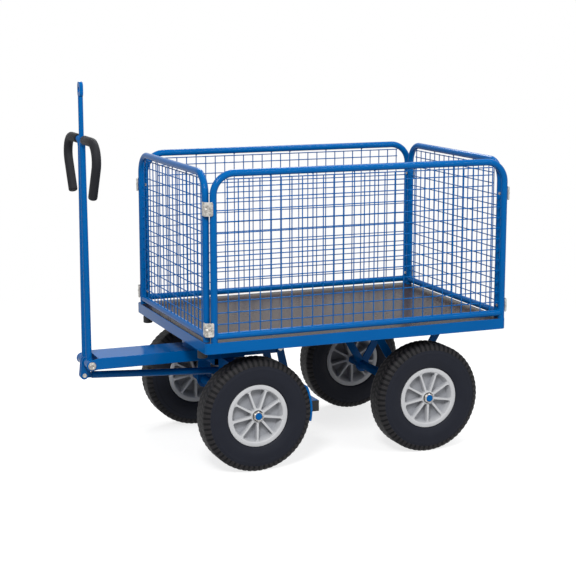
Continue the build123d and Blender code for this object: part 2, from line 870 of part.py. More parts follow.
spring_r = (barrel_bore + hinge_bolt_d / 2) / 2
spring_length = 2 * (barrel_half - hinge_bush) - spring_wire
with BuildPart() as return_spring:
    with BuildLine() as coil:
        Helix(
            pitch=spring_length / spring_turns, height=spring_length, radius=spring_r,
            center=place(hinge_x, -spring_length / 2, hinge_z), direction=(0, 1, 0),
        )
    with BuildSketch(Plane(coil.line @ 0, z_dir=coil.line % 0)):
        Circle(spring_wire / 2)
    sweep(path=coil.line, is_frenet=True)
return_spring.part.label = "return_spring"
export_step(return_spring.part, "parts/return_spring.step")


# Drawbar tube: leans from the barrel to its twin, then turns out into a hand loop.
def horn_points(side):
    lean = (post_spread - post_close) / 2 / (post_bend_z - hinge_z)
    root_y = post_spread / 2 - lean * (horn_z - hinge_z)
    return (
        (side * post_spread / 2, hinge_z),
        (side * root_y, horn_z),
        (side * horn_corner_y, horn_z),
        (side * horn_end_y, horn_end_z),
    )


post_plane = Plane(place(hinge_x, 0, 0), x_dir=(0, 1, 0), z_dir=(1, 0, 0))


def drawbar_tube(side):
    start, root, corner, end = horn_points(side)
    with BuildPart() as tube:
        with BuildLine(post_plane) as path:
            lower = FilletPolyline(start, root, (side * horn_corner_y / 2, horn_z), radius=horn_root_r)
            FilletPolyline((side * horn_corner_y / 2, horn_z), corner, end, radius=horn_r)
        with BuildSketch(Plane(lower @ 0, z_dir=lower % 0)):
            Circle(post_d / 2)
            Circle(post_d / 2 - tube_wall, mode=Mode.SUBTRACT)
        sweep(path=path.line)
        with BuildSketch(side_plane(0)):
            with Locations((hinge_x, hinge_z)):
                Circle(barrel_r)
        extrude(amount=barrel_half, both=True, mode=Mode.SUBTRACT)
    return tube.part


# Foam grip over the loop, closed at its free end.
def grip(side):
    start, root, corner, end = horn_points(side)
    run = hypot(end[0] - corner[0], end[1] - corner[1])
    step = ((end[0] - corner[0]) / run, (end[1] - corner[1]) / run)
    tip = (end[0] + grip_cap * step[0], end[1] + grip_cap * step[1])
    with BuildPart() as foam:
        with BuildLine(post_plane) as outer_path:
            FilletPolyline((side * grip_start_y, horn_z), corner, tip, radius=horn_r)
        with BuildSketch(Plane(outer_path.line @ 0, z_dir=outer_path.line % 0)):
            Circle(grip_d / 2)
        sweep(path=outer_path.line)
        with BuildLine(post_plane) as inner_path:
            FilletPolyline((side * grip_start_y, horn_z), corner, end, radius=horn_r)
        with BuildSketch(Plane(inner_path.line @ 0, z_dir=inner_path.line % 0)):
            Circle(post_d / 2)
        sweep(path=inner_path.line, mode=Mode.SUBTRACT)
    return foam.part


tube_left = drawbar_tube(1)
tube_right = drawbar_tube(-1)
for post_name, post_part in (
    ("drawbar_tube_left", tube_left),
    ("drawbar_tube_right", tube_right),
    ("grip_left", grip(1)),
    ("grip_right", grip(-1)),
):
    post_part.label = post_name
    export_step(post_part, "parts/" + post_name + ".step")

# Towing eye: a rod that stands in the fork of the two tubes and ends in a flat eye.
with BuildPart() as towing_eye:
    with BuildSketch(Plane(place(hinge_x, 0, eye_rod_foot))):
        Circle(eye_rod_d / 2)
    extrude(amount=eye_z - eye_length / 2 + eye_thick / 2 - eye_rod_foot)
    with BuildSketch(post_plane):
        with Locations((0, eye_z)):
            SlotOverall(eye_length, eye_width, rotation=90)
            Circle(eye_hole_d / 2, mode=Mode.SUBTRACT)
    extrude(amount=eye_thick / 2, both=True)
    for horn_side in (1, -1):
        horn_start, horn_root, horn_corner, horn_end = horn_points(horn_side)
        with BuildLine(post_plane) as horn_path:
            FilletPolyline(
                horn_start, horn_root, (horn_side * horn_corner_y / 2, horn_z), radius=horn_root_r,
            )
        with BuildSketch(Plane(horn_path.line @ 0, z_dir=horn_path.line % 0)):
            Circle(post_d / 2)
        sweep(path=horn_path.line, mode=Mode.SUBTRACT)
towing_eye.part.label = "towing_eye"
export_step(towing_eye.part, "parts/towing_eye.step")

# Brake lever: two plates round the barrel that hold the rod's eye between them.
lever_inner = rod_eye_thick / 2 + lever_gap
with BuildPart() as brake_lever:
    for lever_y in (lever_inner, -lever_inner - lever_thick):
        with BuildSketch(side_plane(lever_y)):
            with Locations((hinge_x, hinge_z)):
                Circle(lever_hub_r)
            with Locations((rod_front_x, rod_front_z)):
                Circle(lever_eye_r)
            make_hull()
            with Locations((hinge_x, hinge_z)):
                Circle(barrel_r, mode=Mode.SUBTRACT)
            with Locations((rod_front_x, rod_front_z)):
                Circle(pin_d / 2, mode=Mode.SUBTRACT)
        extrude(amount=-lever_thick)
brake_lever.part.label = "brake_lever"
export_step(brake_lever.part, "parts/brake_lever.step")

with BuildPart() as lever_pin:
    lever_face = lever_inner + lever_thick
    with BuildSketch(side_plane(0)):
        with Locations((rod_front_x, rod_front_z)):
            Circle(pin_d / 2)
    extrude(amount=lever_face + pin_head, both=True)
    for head_y in (lever_face, -lever_face - pin_head):
        with BuildSketch(side_plane(head_y)):
            with Locations((rod_front_x, rod_front_z)):
                Circle(pin_head_r)
        extrude(amount=-pin_head)
lever_pin.part.label = "lever_pin"
export_step(lever_pin.part, "parts/lever_pin.step")

# Brake rod: a tube with a flat eye at each end, drawn along the line between its pins.
rod_length = hypot(rod_front_x - rod_rear_x, rod_front_z - rod_rear_z)
rod_back = Vector(rod_rear_x - rod_front_x, 0, rod_rear_z - rod_front_z).normalized()
rod_plane = Plane(place(rod_front_x, 0, rod_front_z), x_dir=rod_back, z_dir=(0, -1, 0))
rod_start = Plane(rod_plane.from_local_coords((rod_neck, 0, 0)), z_dir=rod_back)
with BuildPart() as brake_rod:
    with BuildSketch(rod_start):
        Circle(rod_d / 2)
        Circle(rod_d / 2 - rod_wall, mode=Mode.SUBTRACT)
    extrude(amount=rod_length - 2 * rod_neck)
    with BuildSketch(rod_plane):
        for eye_x, neck_x in ((0, rod_neck), (rod_length, rod_length - rod_neck)):
            with Locations(((eye_x + neck_x) / 2, 0)):
                Rectangle(rod_neck + 2 * rod_wall, rod_eye_width)
            with Locations((eye_x, 0)):
                Circle(rod_eye_r)
        with Locations((0, 0)):
            Circle(pin_d / 2 + running_gap, mode=Mode.SUBTRACT)
        with Locations((rod_length, 0)):
            Circle(pin_d / 2, mode=Mode.SUBTRACT)
    extrude(amount=rod_eye_thick / 2, both=True)
brake_rod.part.label = "brake_rod"
export_step(brake_rod.part, "parts/brake_rod.step")

bracket_inner = rod_eye_thick / 2 + lever_gap
bracket_face = bracket_inner + lever_thick
with BuildPart() as rod_pin:
    with BuildSketch(side_plane(0)):
        with Locations((rod_rear_x, rod_rear_z)):
            Circle(pin_d / 2)
    extrude(amount=bracket_face + lever_gap + pin_head, both=True)
    for head_y in (bracket_face + lever_gap, -bracket_face - lever_gap - pin_head):
        with BuildSketch(side_plane(head_y)):
            with Locations((rod_rear_x, rod_rear_z)):
                Circle(rod_washer_r)
        extrude(amount=-pin_head)
rod_pin.part.label = "rod_pin"
export_step(rod_pin.part, "parts/rod_pin.step")

# Pivot of the brake beam, set so that the rod's rear pin meets the bracket at both ends of
# the lever's quarter turn. In between the pin drifts, so the bracket's hole is wider.
mid_angle = lever_angle - pi / 4
beam_swing = beam_share * pi / 2
pivot_x = rod_rear_x - beam_lever * cos(mid_angle + beam_swing / 2)
pivot_z = rod_rear_z - beam_lever * sin(mid_angle + beam_swing / 2)
rod_mid_x = rod_rear_x + lever_reach * cos(mid_angle) - lever_dx
rod_mid_z = rod_rear_z + lever_reach * sin(mid_angle) - lever_dz
back_x = rod_mid_x - pivot_x
back_z = rod_mid_z - pivot_z
half_swing = beam_swing / 2
drift_x = pivot_x + back_x * cos(half_swing) - back_z * sin(half_swing) - rod_rear_x
drift_z = pivot_z + back_x * sin(half_swing) + back_z * cos(half_swing) - rod_rear_z
bracket_hole_r = pin_d / 2 + hypot(drift_x, drift_z) / 2 + bracket_gap

# Brake beam: a square tube behind the front wheels with a bracket for the rod in its middle.
with BuildPart() as brake_beam:
    with BuildSketch(side_plane(beam_half)):
        with Locations((beam_x, beam_z)):
            Rectangle(beam_size, beam_size)
            Rectangle(beam_size - 2 * beam_wall, beam_size - 2 * beam_wall, mode=Mode.SUBTRACT)
    extrude(amount=2 * beam_half)
    for bracket_y in (bracket_inner, -bracket_face):
        with BuildSketch(side_plane(bracket_y)):
            with Locations((beam_x, beam_top - beam_wall / 2)):
                Rectangle(bracket_foot, beam_wall)
            with Locations((rod_rear_x + drift_x / 2, rod_rear_z + drift_z / 2)):
                Circle(bracket_eye_r)
            make_hull()
            with Locations((rod_rear_x + drift_x / 2, rod_rear_z + drift_z / 2)):
                Circle(bracket_hole_r, mode=Mode.SUBTRACT)
        extrude(amount=-lever_thick)
brake_beam.part.label = "brake_beam"
export_step(brake_beam.part, "parts/brake_beam.step")

with BuildPart() as beam_caps:
    for cap_y in (beam_half + cap_thick, -beam_half):
        with BuildSketch(side_plane(cap_y)):
            with Locations((beam_x, beam_z)):
                Rectangle(beam_size, beam_size)
        extrude(amount=cap_thick)
beam_caps.part.label = "beam_caps"
export_step(beam_caps.part, "parts/beam_caps.step")

# Hangers: a bar on each side from the beam's top up to the pivot.
carrier_face = arm_half + carrier_thick
hanger_inner = carrier_face + hanger_gap
with BuildPart() as brake_hangers:
    for hanger_y in (hanger_inner, -hanger_inner - hanger_thick):
        with BuildSketch(side_plane(hanger_y)):
            Polygon(
                (beam_x - hanger_foot / 2, beam_top), (beam_x + hanger_foot / 2, beam_top),
                (pivot_x + hanger_eye_r, pivot_z), (pivot_x - hanger_eye_r, pivot_z),
                align=None,
            )
            with Locations((pivot_x, pivot_z)):
                Circle(hanger_eye_r)
                Circle(hanger_pin_d / 2 + running_gap, mode=Mode.SUBTRACT)
        extrude(amount=-hanger_thick)
brake_hangers.part.label = "brake_hangers"
export_step(brake_hangers.part, "parts/brake_hangers.step")

# Carriers: a bar on each side of the arm that reaches back to the pivot.
with BuildPart() as brake_carriers:
    for carrier_y in (arm_half, -carrier_face):
        with BuildSketch(side_plane(carrier_y)):
            with Locations(((pivot_x + carrier_reach) / 2, pivot_z)):
                Rectangle(carrier_reach - pivot_x, carrier_height)
            with Locations((pivot_x, pivot_z)):
                Circle(carrier_height / 2)
                Circle(hanger_pin_d / 2, mode=Mode.SUBTRACT)
        extrude(amount=-carrier_thick)
brake_carriers.part.label = "brake_carriers"
export_step(brake_carriers.part, "parts/brake_carriers.step")

with BuildPart() as hanger_pins:
    for pin_side in (1, -1):
        pin_inner = arm_half - pin_head
        pin_outer = hanger_inner + hanger_thick + hanger_gap
        with BuildSketch(side_plane(pin_side * pin_inner)):
            with Locations((pivot_x, pivot_z)):
                Circle(hanger_pin_d / 2)
        extrude(amount=-pin_side * (pin_outer + pin_head - pin_inner))
        with BuildSketch(side_plane(pin_side * pin_inner), side_plane(pin_side * pin_outer)):
            with Locations((pivot_x, pivot_z)):
                Circle(hanger_head_r)
        extrude(amount=-pin_side * pin_head)
hanger_pins.part.label = "hanger_pins"
export_step(hanger_pins.part, "parts/hanger_pins.step")

# Brake shoes: curved plates behind the front tyres.
shoe_r = wheel_r + shoe_gap


def shoe_point(radius, angle):
    return (front_axle_x - radius * cos(radians(angle)), wheel_r + radius * sin(radians(angle)))


with BuildPart() as brake_shoes:
    shoe_middle = (shoe_up_angle - shoe_down_angle) / 2
    for shoe_side in (1, -1):
        with BuildSketch(side_plane(shoe_side * half_track)):
            with BuildLine():
                ThreePointArc(
                    shoe_point(shoe_r, shoe_up_angle), shoe_point(shoe_r, shoe_middle),
                    shoe_point(shoe_r, -shoe_down_angle),
                )
                Line(
                    shoe_point(shoe_r, -shoe_down_angle),
                    shoe_point(shoe_r + shoe_thick, -shoe_down_angle),
                )
                ThreePointArc(
                    shoe_point(shoe_r + shoe_thick, -shoe_down_angle),
                    shoe_point(shoe_r + shoe_thick, shoe_middle),
                    shoe_point(shoe_r + shoe_thick, shoe_up_angle),
                )
                Line(
                    shoe_point(shoe_r + shoe_thick, shoe_up_angle),
                    shoe_point(shoe_r, shoe_up_angle),
                )
            make_face()
        extrude(amount=shoe_width / 2, both=True)
brake_shoes.part.label = "brake_shoes"
export_step(brake_shoes.part, "parts/brake_shoes.step")
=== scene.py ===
import json
from math import acos, cos, pi, radians, sin, sqrt, tan

import bmesh
import bpy
from mathutils import Matrix, Vector

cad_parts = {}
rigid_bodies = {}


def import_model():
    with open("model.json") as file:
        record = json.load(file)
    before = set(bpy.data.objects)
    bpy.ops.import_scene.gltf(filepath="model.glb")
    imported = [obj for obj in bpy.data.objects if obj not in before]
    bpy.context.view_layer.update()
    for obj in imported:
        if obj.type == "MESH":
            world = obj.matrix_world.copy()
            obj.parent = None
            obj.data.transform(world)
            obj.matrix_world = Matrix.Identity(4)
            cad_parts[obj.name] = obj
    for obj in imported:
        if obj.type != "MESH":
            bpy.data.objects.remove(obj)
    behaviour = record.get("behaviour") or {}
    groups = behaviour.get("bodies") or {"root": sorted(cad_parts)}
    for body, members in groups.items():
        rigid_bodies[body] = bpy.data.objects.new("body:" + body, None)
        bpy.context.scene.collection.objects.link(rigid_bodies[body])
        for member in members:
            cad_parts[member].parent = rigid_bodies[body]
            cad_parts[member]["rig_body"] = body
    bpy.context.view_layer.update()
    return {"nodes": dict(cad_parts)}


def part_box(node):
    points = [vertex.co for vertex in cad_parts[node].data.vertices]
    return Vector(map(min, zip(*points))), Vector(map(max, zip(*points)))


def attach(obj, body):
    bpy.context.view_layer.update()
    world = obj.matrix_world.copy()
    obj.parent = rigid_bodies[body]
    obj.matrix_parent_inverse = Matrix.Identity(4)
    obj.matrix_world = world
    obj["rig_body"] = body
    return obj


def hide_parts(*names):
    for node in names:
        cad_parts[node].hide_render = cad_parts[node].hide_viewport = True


# Mesh-sided platform trolley in metres: +X forward to the drawbar, +Y to the left, +Z up.
# The file follows the trolley as it is put together, from the bed to the drawbar and its brake.
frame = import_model()
nodes = frame["nodes"]

# Bed frame
# Rolled steel angle bent into one hoop, welded shut and powder coated after welding.
# Rolling rounds its outer arrises, so they carry a thin line of light.
crease = radians(38)
flat_limit = radians(0.6)
merge_gap = 0.00002


def linear(code):
    """An sRGB hex colour as linear red, green, blue and full alpha."""
    shares = [int(code[i:i + 2], 16) / 255 for i in (1, 3, 5)]
    return [s / 12.92 if s <= 0.04045 else ((s + 0.055) / 1.055) ** 2.4 for s in shares] + [1.0]


def add(tree, kind, feeds=None, **settings):
    """A node with its settings; a feed is a value, another node or one of its sockets."""
    made = tree.nodes.new(kind)
    for name, value in settings.items():
        setattr(made, name, value)
    for name, value in (feeds or {}).items():
        if isinstance(value, bpy.types.Node):
            value = value.outputs[0]
        if isinstance(value, bpy.types.NodeSocket):
            tree.links.new(value, made.inputs[name])
        else:
            made.inputs[name].default_value = value
    return made


def new_finish(name):
    """An empty material, its tree and the place on the piece that its patterns read."""
    finish = bpy.data.materials.new(name)
    finish.use_nodes = True
    finish.node_tree.nodes.clear()
    place = add(finish.node_tree, "ShaderNodeTexCoord").outputs["Object"]
    return finish, finish.node_tree, place


# Baked polyester powder coat: an even, saturated film that mirrors only at a low angle.
# Its tone drifts over about 150 mm, and an orange peel of about 2 mm breaks reflections up.
powder_coat, tree, place = new_finish("polyester_powder_coat")
cloud = add(tree, "ShaderNodeTexNoise", {"Vector": place, "Scale": 1 / 0.150, "Detail": 2.0})
tone = add(tree, "ShaderNodeMixRGB", {
    "Fac": cloud, "Color1": linear("#005293"), "Color2": linear("#005DA2"),
})
gloss = add(tree, "ShaderNodeMapRange", {"Value": cloud, "To Min": 0.09, "To Max": 0.16})
peel = add(tree, "ShaderNodeTexNoise", {"Vector": place, "Scale": 1 / 0.002, "Detail": 1.0})
skin = add(tree, "ShaderNodeBump", {"Height": peel, "Strength": 0.25, "Distance": 0.00003})
add(tree, "ShaderNodeOutputMaterial", {"Surface": add(tree, "ShaderNodeBsdfPrincipled", {
    "Base Color": tone, "Roughness": gloss, "Normal": skin, "Specular IOR Level": 0.06,
})})


def smoothed(mesh):
    """Smooth faces, with an edge kept where two meet at more than the crease angle."""
    mesh.shade_smooth()
    mesh.set_sharp_from_angle(angle=crease)


def meshed(name, shape):
    """The mesh of a shape that is built, which frees the shape."""
    mesh = bpy.data.meshes.new(name)
    shape.to_mesh(mesh)
    shape.free()
    return mesh


def placed(name, data):
    """An object in the scene that shows this mesh, lamp or camera."""
    made = bpy.data.objects.new(name, data)
    bpy.context.scene.collection.objects.link(made)
    return made


def bevelled(piece, arris, limit, segments=2):
    """Rounds the arrises of a piece where its faces meet at more than an angle."""
    bevel = piece.modifiers.new("arris", "BEVEL")
    bevel.width = arris
    bevel.segments = segments
    bevel.limit_method = "ANGLE"
    bevel.angle_limit = limit
    return bevel


def piece_of(name, mesh, finish, slot, body, *stands_for):
    """A piece of the trolley from its mesh, with its finish, its body and its solids."""
    mesh.materials.clear()
    mesh.materials.append(finish)
    piece = placed(name, mesh)
    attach(piece, body)
    if stands_for:
        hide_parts(*stands_for)
    return piece


def eased(node, finish, slot, arris):
    """A copy of a solid with its arrises rounded over, as bending and tumbling leave them."""
    shape = bmesh.new()
    shape.from_mesh(nodes[node].data)
    bmesh.ops.remove_doubles(shape, verts=shape.verts, dist=merge_gap)
    bmesh.ops.dissolve_limit(
        shape, angle_limit=flat_limit, verts=shape.verts, edges=shape.edges,
    )
    mesh = meshed(node + "_eased", shape)
    if "custom_normal" in mesh.attributes:
        mesh.attributes.remove(mesh.attributes["custom_normal"])
    smoothed(mesh)
    piece = piece_of(node + "_eased", mesh, finish, slot, nodes[node]["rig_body"], node)
    bevelled(piece, arris, crease).harden_normals = True


eased("bed_frame", powder_coat, "blue_paint", arris=0.0018)

# Deck
# Birch plywood faced with brown phenolic film, let into the frame from above.
# A wire screen pressed into the film leaves a fine square grain that stops loads sliding.

# Phenolic film: a hard brown skin, mottled over about 90 mm by the resin in the paper.
deck_film, tree, place = new_finish("phenolic_film_on_plywood")
# The real screen has a mesh of about 2 mm; it is drawn at 6 mm so that it shows.
# A wave at scale 1 repeats every pi / 10.
screen_pitch = 0.006
screen_scale = pi / 10 / screen_pitch
warp = add(tree, "ShaderNodeTexWave", {"Vector": place, "Scale": screen_scale})
weft = add(
    tree, "ShaderNodeTexWave", {"Vector": place, "Scale": screen_scale}, bands_direction="Y",
)
screen = add(tree, "ShaderNodeMath", {
    0: warp.outputs["Fac"], 1: weft.outputs["Fac"],
}, operation="MAXIMUM")
mottle = add(tree, "ShaderNodeTexNoise", {"Vector": place, "Scale": 1 / 0.090, "Detail": 5.0})
film = add(tree, "ShaderNodeMixRGB", {
    "Fac": mottle, "Color1": linear("#382F2C"), "Color2": linear("#433834"),
})
imprint = add(tree, "ShaderNodeMixRGB", {
    "Fac": screen, "Color1": linear("#322A27"), "Color2": film,
})
sheen = add(tree, "ShaderNodeMapRange", {"Value": mottle, "To Min": 0.20, "To Max": 0.32})
grain = add(tree, "ShaderNodeBump", {"Height": screen, "Strength": 0.25, "Distance": 0.0002})
add(tree, "ShaderNodeOutputMaterial", {"Surface": add(tree, "ShaderNodeBsdfPrincipled", {
    "Base Color": imprint, "Roughness": sheen, "Normal": grain, "Specular IOR Level": 0.04,
})})


def paint(finish, *names):
    """Gives solids that keep their own shape their finish."""
    for name in names:
        nodes[name].data.materials.clear()
        nodes[name].data.materials.append(finish)


paint(deck_film, "deck_board")

# Cross bearers
# Flat box tubes across the frame, under the deck, welded to the flanges at both ends.
# The tube is drawn with soft corners and coated with the frame.
eased("cross_bearers", powder_coat, "blue_paint", arris=0.0025)

# Mesh panels
# Round tube bent into a U, with a rail across its foot and welded wire mesh in the opening.
# Every fourth upright wire runs up to the tube. Tube, rail and mesh are coated in one go.
tube_r = 0.0125
rail_r = 0.0120
bend_r = 0.076
rail_rise = 0.0205
wire_gap = 0.003
dab_half = 0.0016
forward = Vector((1, 0, 0))
sideways = Vector((0, 1, 0))
up = Vector((0, 0, 1))


def turn_at(before, corner, after, radius, steps):
    """Points of the arc that rounds one corner of a run."""
    back = (before - corner).normalized()
    on = (after - corner).normalized()
    half = acos(max(-1, min(1, back.dot(on)))) / 2
    centre = corner + (back + on).normalized() * (radius / sin(half))
    start = corner + back * (radius / tan(half)) - centre
    end = corner + on * (radius / tan(half)) - centre
    sweep = start.angle(end)
    return [
        centre + (start * sin((1 - i / steps) * sweep) + end * sin(i / steps * sweep)) / sin(sweep)
        for i in range(steps + 1)
    ]


def bent(corners, radii, steps=14):
    """A run of points through the corners, each one rounded to its bending radius."""
    run = [corners[0]]
    for i, radius in enumerate(radii):
        run += turn_at(corners[i], corners[i + 1], corners[i + 2], radius, steps)
    return run + [corners[-1]]


def drawn(curve, runs, closed=False):
    """The mesh of a curve through each run; a point's fourth number is its share of the radius."""
    for run in runs:
        spline = curve.splines.new("POLY")
        spline.points.add(len(run) - 1)
        spline.use_cyclic_u = closed
        for point, at in zip(spline.points, run):
            point.co = (*at[:3], 1)
            point.radius = at[3] if len(at) > 3 else 1
    shape = bpy.data.objects.new(curve.name, curve)
    mesh = bpy.data.meshes.new_from_object(shape)
    bpy.data.objects.remove(shape)
    bpy.data.curves.remove(curve)
    return mesh


def swept(name, run, radius, sides=6):
    """A round bar or tube swept along a run."""
    curve = bpy.data.curves.new(name, "CURVE")
    curve.dimensions = "3D"
    curve.bevel_depth = radius
    curve.bevel_resolution = sides
    curve.use_fill_caps = True
    mesh = drawn(curve, [run])
    smoothed(mesh)
    return mesh


def ring(first, second, radius, steps):
    """Offsets round a circle that starts in one direction, turns to another and closes."""
    turns = [2 * pi * i / steps for i in range(steps + 1)]
    return [first * (radius * cos(t)) + second * (radius * sin(t)) for t in turns]


def middles(places, apart=0.010):
    """The middle of each cluster of places along a line."""
    groups = []
    for at in sorted(places):
        if not groups or at - groups[-1][-1] > apart:
            groups.append([])
        groups[-1].append(at)
    return [(group[0] + group[-1]) / 2 for group in groups]


# The lines that welds follow, gathered by body here and filled with beads further down.
weld_runs = {"bed": [], "bogie": [], "drawbar": []}
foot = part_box("deck_board")[1].z
for side in ("front", "left", "rear", "right"):
    low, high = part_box(side + "_panel_tube")
    centre = (low + high) / 2
    across = forward if high.x - low.x > high.y - low.y else sideways
    outward = across.cross(up)
    reach = (high - low).dot(across) / 2 - tube_r
    half = across * reach
    base = Vector((centre.x, centre.y, foot))
    top = Vector((centre.x, centre.y, high.z - tube_r))
    loop = bent([base - half, top - half, top + half, base + half], [bend_r, bend_r])
    mesh = swept(side + "_panel_loop", loop, tube_r)
    piece_of(
        side + "_panel_loop", mesh, powder_coat, "blue_paint", "bed", side + "_panel_tube",
    )
    rail = base + up * rail_rise
    mesh = swept(side + "_panel_rail", [rail - half, rail + half], rail_r)
    piece_of(side + "_panel_rail", mesh, powder_coat, "blue_paint", "bed")
    paint(powder_coat, side + "_panel_mesh")

    # The rail's end is notched to the upright, so its weld runs in a saddle.
    for end in (-1, 1):
        weld_runs["bed"].append([
            rail + half * end + at - across * end * sqrt(tube_r ** 2 - at.dot(outward) ** 2)
            for at in ring(up, outward, rail_r, steps=40)
        ])

    # Dabs of weld fix the long wires to the tube and the rail, and the level ones to the uprights.
    # A wire meets a tube where its end comes within the gap.
    wires = [v.co - base for v in nodes[side + "_panel_mesh"].data.vertices]
    tube_low = top.z - tube_r - foot
    for at in middles(w.dot(across) for w in wires if w.z > tube_low - wire_gap):
        for level in (tube_low, rail_rise + rail_r):
            spot = base + across * at + up * level
            weld_runs["bed"].append([spot - across * dab_half, spot + across * dab_half])
    for end in (-1, 1):
        near = [w.z for w in wires if w.dot(across) * end > reach - tube_r - wire_gap]
        for at in middles(near):
            spot = base + across * (end * (reach - tube_r)) + up * at
            weld_runs["bed"].append([spot - up * dab_half, spot + up * dab_half])

# Corner clips
# Zinc-plated steel plates, stamped with round corners and folded back at both edges.
# Each one lies across two uprights and is drawn against them by one screw.
clip_height = 0.049
clip_thick = 0.003
clip_face = 0.015
clip_wing = 0.020
clip_fold = radians(45)
clip_fold_r = 0.004
clip_corner = 0.0055
clip_cut = 0.0012
clip_rows = (-1, -0.5, 0, 0.5, 1)
clip_arris = 0.0006
clip_levels = (0.047, 0.470)

# Zinc plate on rolled steel: a warm grey metal, dulled by its passivation.
# Crystals of about 4 mm and handling marks of about 12 mm change its tone and gloss.
zinc_plate, tree, place = new_finish("zinc_plate")
bloom = add(tree, "ShaderNodeTexNoise", {"Vector": place, "Scale": 1 / 0.012, "Detail": 1.5})
crystals = add(tree, "ShaderNodeTexVoronoi", {"Vector": place, "Scale": 1 / 0.004})
spangle = add(tree, "ShaderNodeMixRGB", {
    "Fac": 0.35, "Color1": bloom, "Color2": crystals.outputs["Color"],
})
share = add(tree, "ShaderNodeMapRange", {"Value": spangle, "From Min": 0.32, "From Max": 0.68})
tone = add(tree, "ShaderNodeMixRGB", {
    "Fac": share, "Color1": linear("#86827D"), "Color2": linear("#CDCAC4"),
})
gloss = add(tree, "ShaderNodeMapRange", {"Value": share, "To Min": 0.46, "To Max": 0.28})
skin = add(tree, "ShaderNodeBump", {
    "Height": crystals.outputs["Distance"], "Strength": 0.15, "Distance": 0.00005,
})
add(tree, "ShaderNodeOutputMaterial", {"Surface": add(tree, "ShaderNodeBsdfPrincipled", {
    "Base Color": tone, "Roughness": gloss, "Normal": skin, "Metallic": 0.7,
})})


def corner_between(end, side):
    """The middle of a corner's two uprights, the line across them and the way out."""
    side_low, side_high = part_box(side + "_panel_tube")
    end_low, end_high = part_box(end + "_panel_tube")
    side_upright = Vector((
        side_high.x - tube_r if end == "front" else side_low.x + tube_r,
        (side_low.y + side_high.y) / 2, 0,
    ))
    end_upright = Vector((
        (end_low.x + end_high.x) / 2,
        end_high.y - tube_r if side == "left" else end_low.y + tube_r, 0,
    ))
    middle = (side_upright + end_upright) / 2
    across = (side_upright - end_upright).normalized()
    out = across.cross(up)
    return middle, across, out if out.dot(middle) > 0 else -out


def plate_line(stand):
    """A plate seen from above, as places across and out, in short lengths."""
    fold = Vector((clip_face / 2, stand))
    tip = fold + Vector((cos(clip_fold), -sin(clip_fold))) * clip_wing
    mirror = Vector((-1, 1))
    run = bent([tip * mirror, fold * mirror, fold, tip], [clip_fold_r, clip_fold_r], steps=4)
    line = []
    for a, b in zip(run, run[1:]):
        cuts = max(1, round((b - a).length / clip_cut))
        line += [a.lerp(b, i / cuts) for i in range(cuts)]
    return line + [run[-1]]


def add_plate(shape, seat, across, out, line):
    """Builds one plate along its line, less tall near both ends for its round corners."""
    total = sum((b - a).length for a, b in zip(line, line[1:]))
    gone = 0.0
    columns = []
    for before, at in zip(line[:1] + line, line):
        gone += (at - before).length
        edge = max(0.0, clip_corner - min(gone, total - gone))
        tall = clip_height / 2 - clip_corner + sqrt(max(0, clip_corner ** 2 - edge ** 2))
        spot = seat + across * at.x + out * at.y
        columns.append([shape.verts.new(spot + up * (tall * row)) for row in clip_rows])
    for first, second in zip(columns, columns[1:]):
        for i in range(len(clip_rows) - 1):
            face = [first[i], second[i], second[i + 1], first[i + 1]]
            if (second[0].co - first[0].co).cross(up).dot(out) < 0:
                face.reverse()
            shape.faces.new(face)


clip_seats = []
clip_shape = bmesh.new()
clip_points = [v.co for v in nodes["corner_clips"].data.vertices]
for end in ("front", "rear"):
    for side in ("left", "right"):
        middle, across, out = corner_between(end, side)
        clip_stand = max((at - middle).dot(out) for at in clip_points)
        for level in clip_levels:
            seat = middle + up * (foot + level)
            add_plate(clip_shape, seat, across, out, plate_line(clip_stand))
            clip_seats.append((seat + out * clip_stand, out))
mesh = meshed("corner_clip_plates", clip_shape)
smoothed(mesh)
clips = piece_of("corner_clip_plates", mesh, zinc_plate, "zinc", "bed", "corner_clips")
wall = clips.modifiers.new("plate", "SOLIDIFY")
wall.thickness = clip_thick
wall.offset = -1
bevelled(clips, clip_arris, limit=radians(50))

# Clip screws
# Dome-headed steel screws through the clips, zinc plated like them.
# Each one runs between the two uprights to a hexagon nut inside the corner.
head_r = 0.0055
head_rise = 0.0040
shank_r = 0.0023
nut_flat_r = 0.0048
nut_corner_r = 0.0050
nut_arris = 0.0006
nut_thick = 0.0040
nut_depth = 0.0083
# How far under the screw's head the two faces of the nut lie.
nut_near = clip_stand + nut_depth
nut_far = nut_near + nut_thick
axis_gap = 0.000001


def lathed(profile, steps, flat_r=None):
    """A mesh turned round Z from a closed profile, cut to six flats at flat_r if that is given."""
    shape = bmesh.new()
    rings = []
    for i in range(steps):
        turn = 2 * pi * i / steps
        # How far off the hexagon's side lies in this direction.
        limit = flat_r / cos((turn + pi / 6) % (pi / 3) - pi / 6) if flat_r else 1.0
        rings.append([
            shape.verts.new((min(r, limit) * cos(turn), min(r, limit) * sin(turn), z))
            for r, z in profile
        ])
    for i, this in enumerate(rings):
        after = rings[(i + 1) % steps]
        for j in range(len(profile)):
            k = (j + 1) % len(profile)
            if profile[j][0] > 0 or profile[k][0] > 0:
                shape.faces.new([this[j], after[j], after[k], this[k]])
    bmesh.ops.remove_doubles(shape, verts=shape.verts, dist=axis_gap)
    bmesh.ops.recalc_face_normals(shape, faces=shape.faces)
    mesh = meshed("turned", shape)
    smoothed(mesh)
    return mesh


def together(name, *parts):
    """One mesh from several, each with the place it is set in."""
    shape = bmesh.new()
    for mesh, seat in parts:
        copy = mesh.copy()
        copy.transform(seat)
        shape.from_mesh(copy)
        bpy.data.meshes.remove(copy)
    mesh = meshed(name, shape)
    smoothed(mesh)
    return mesh


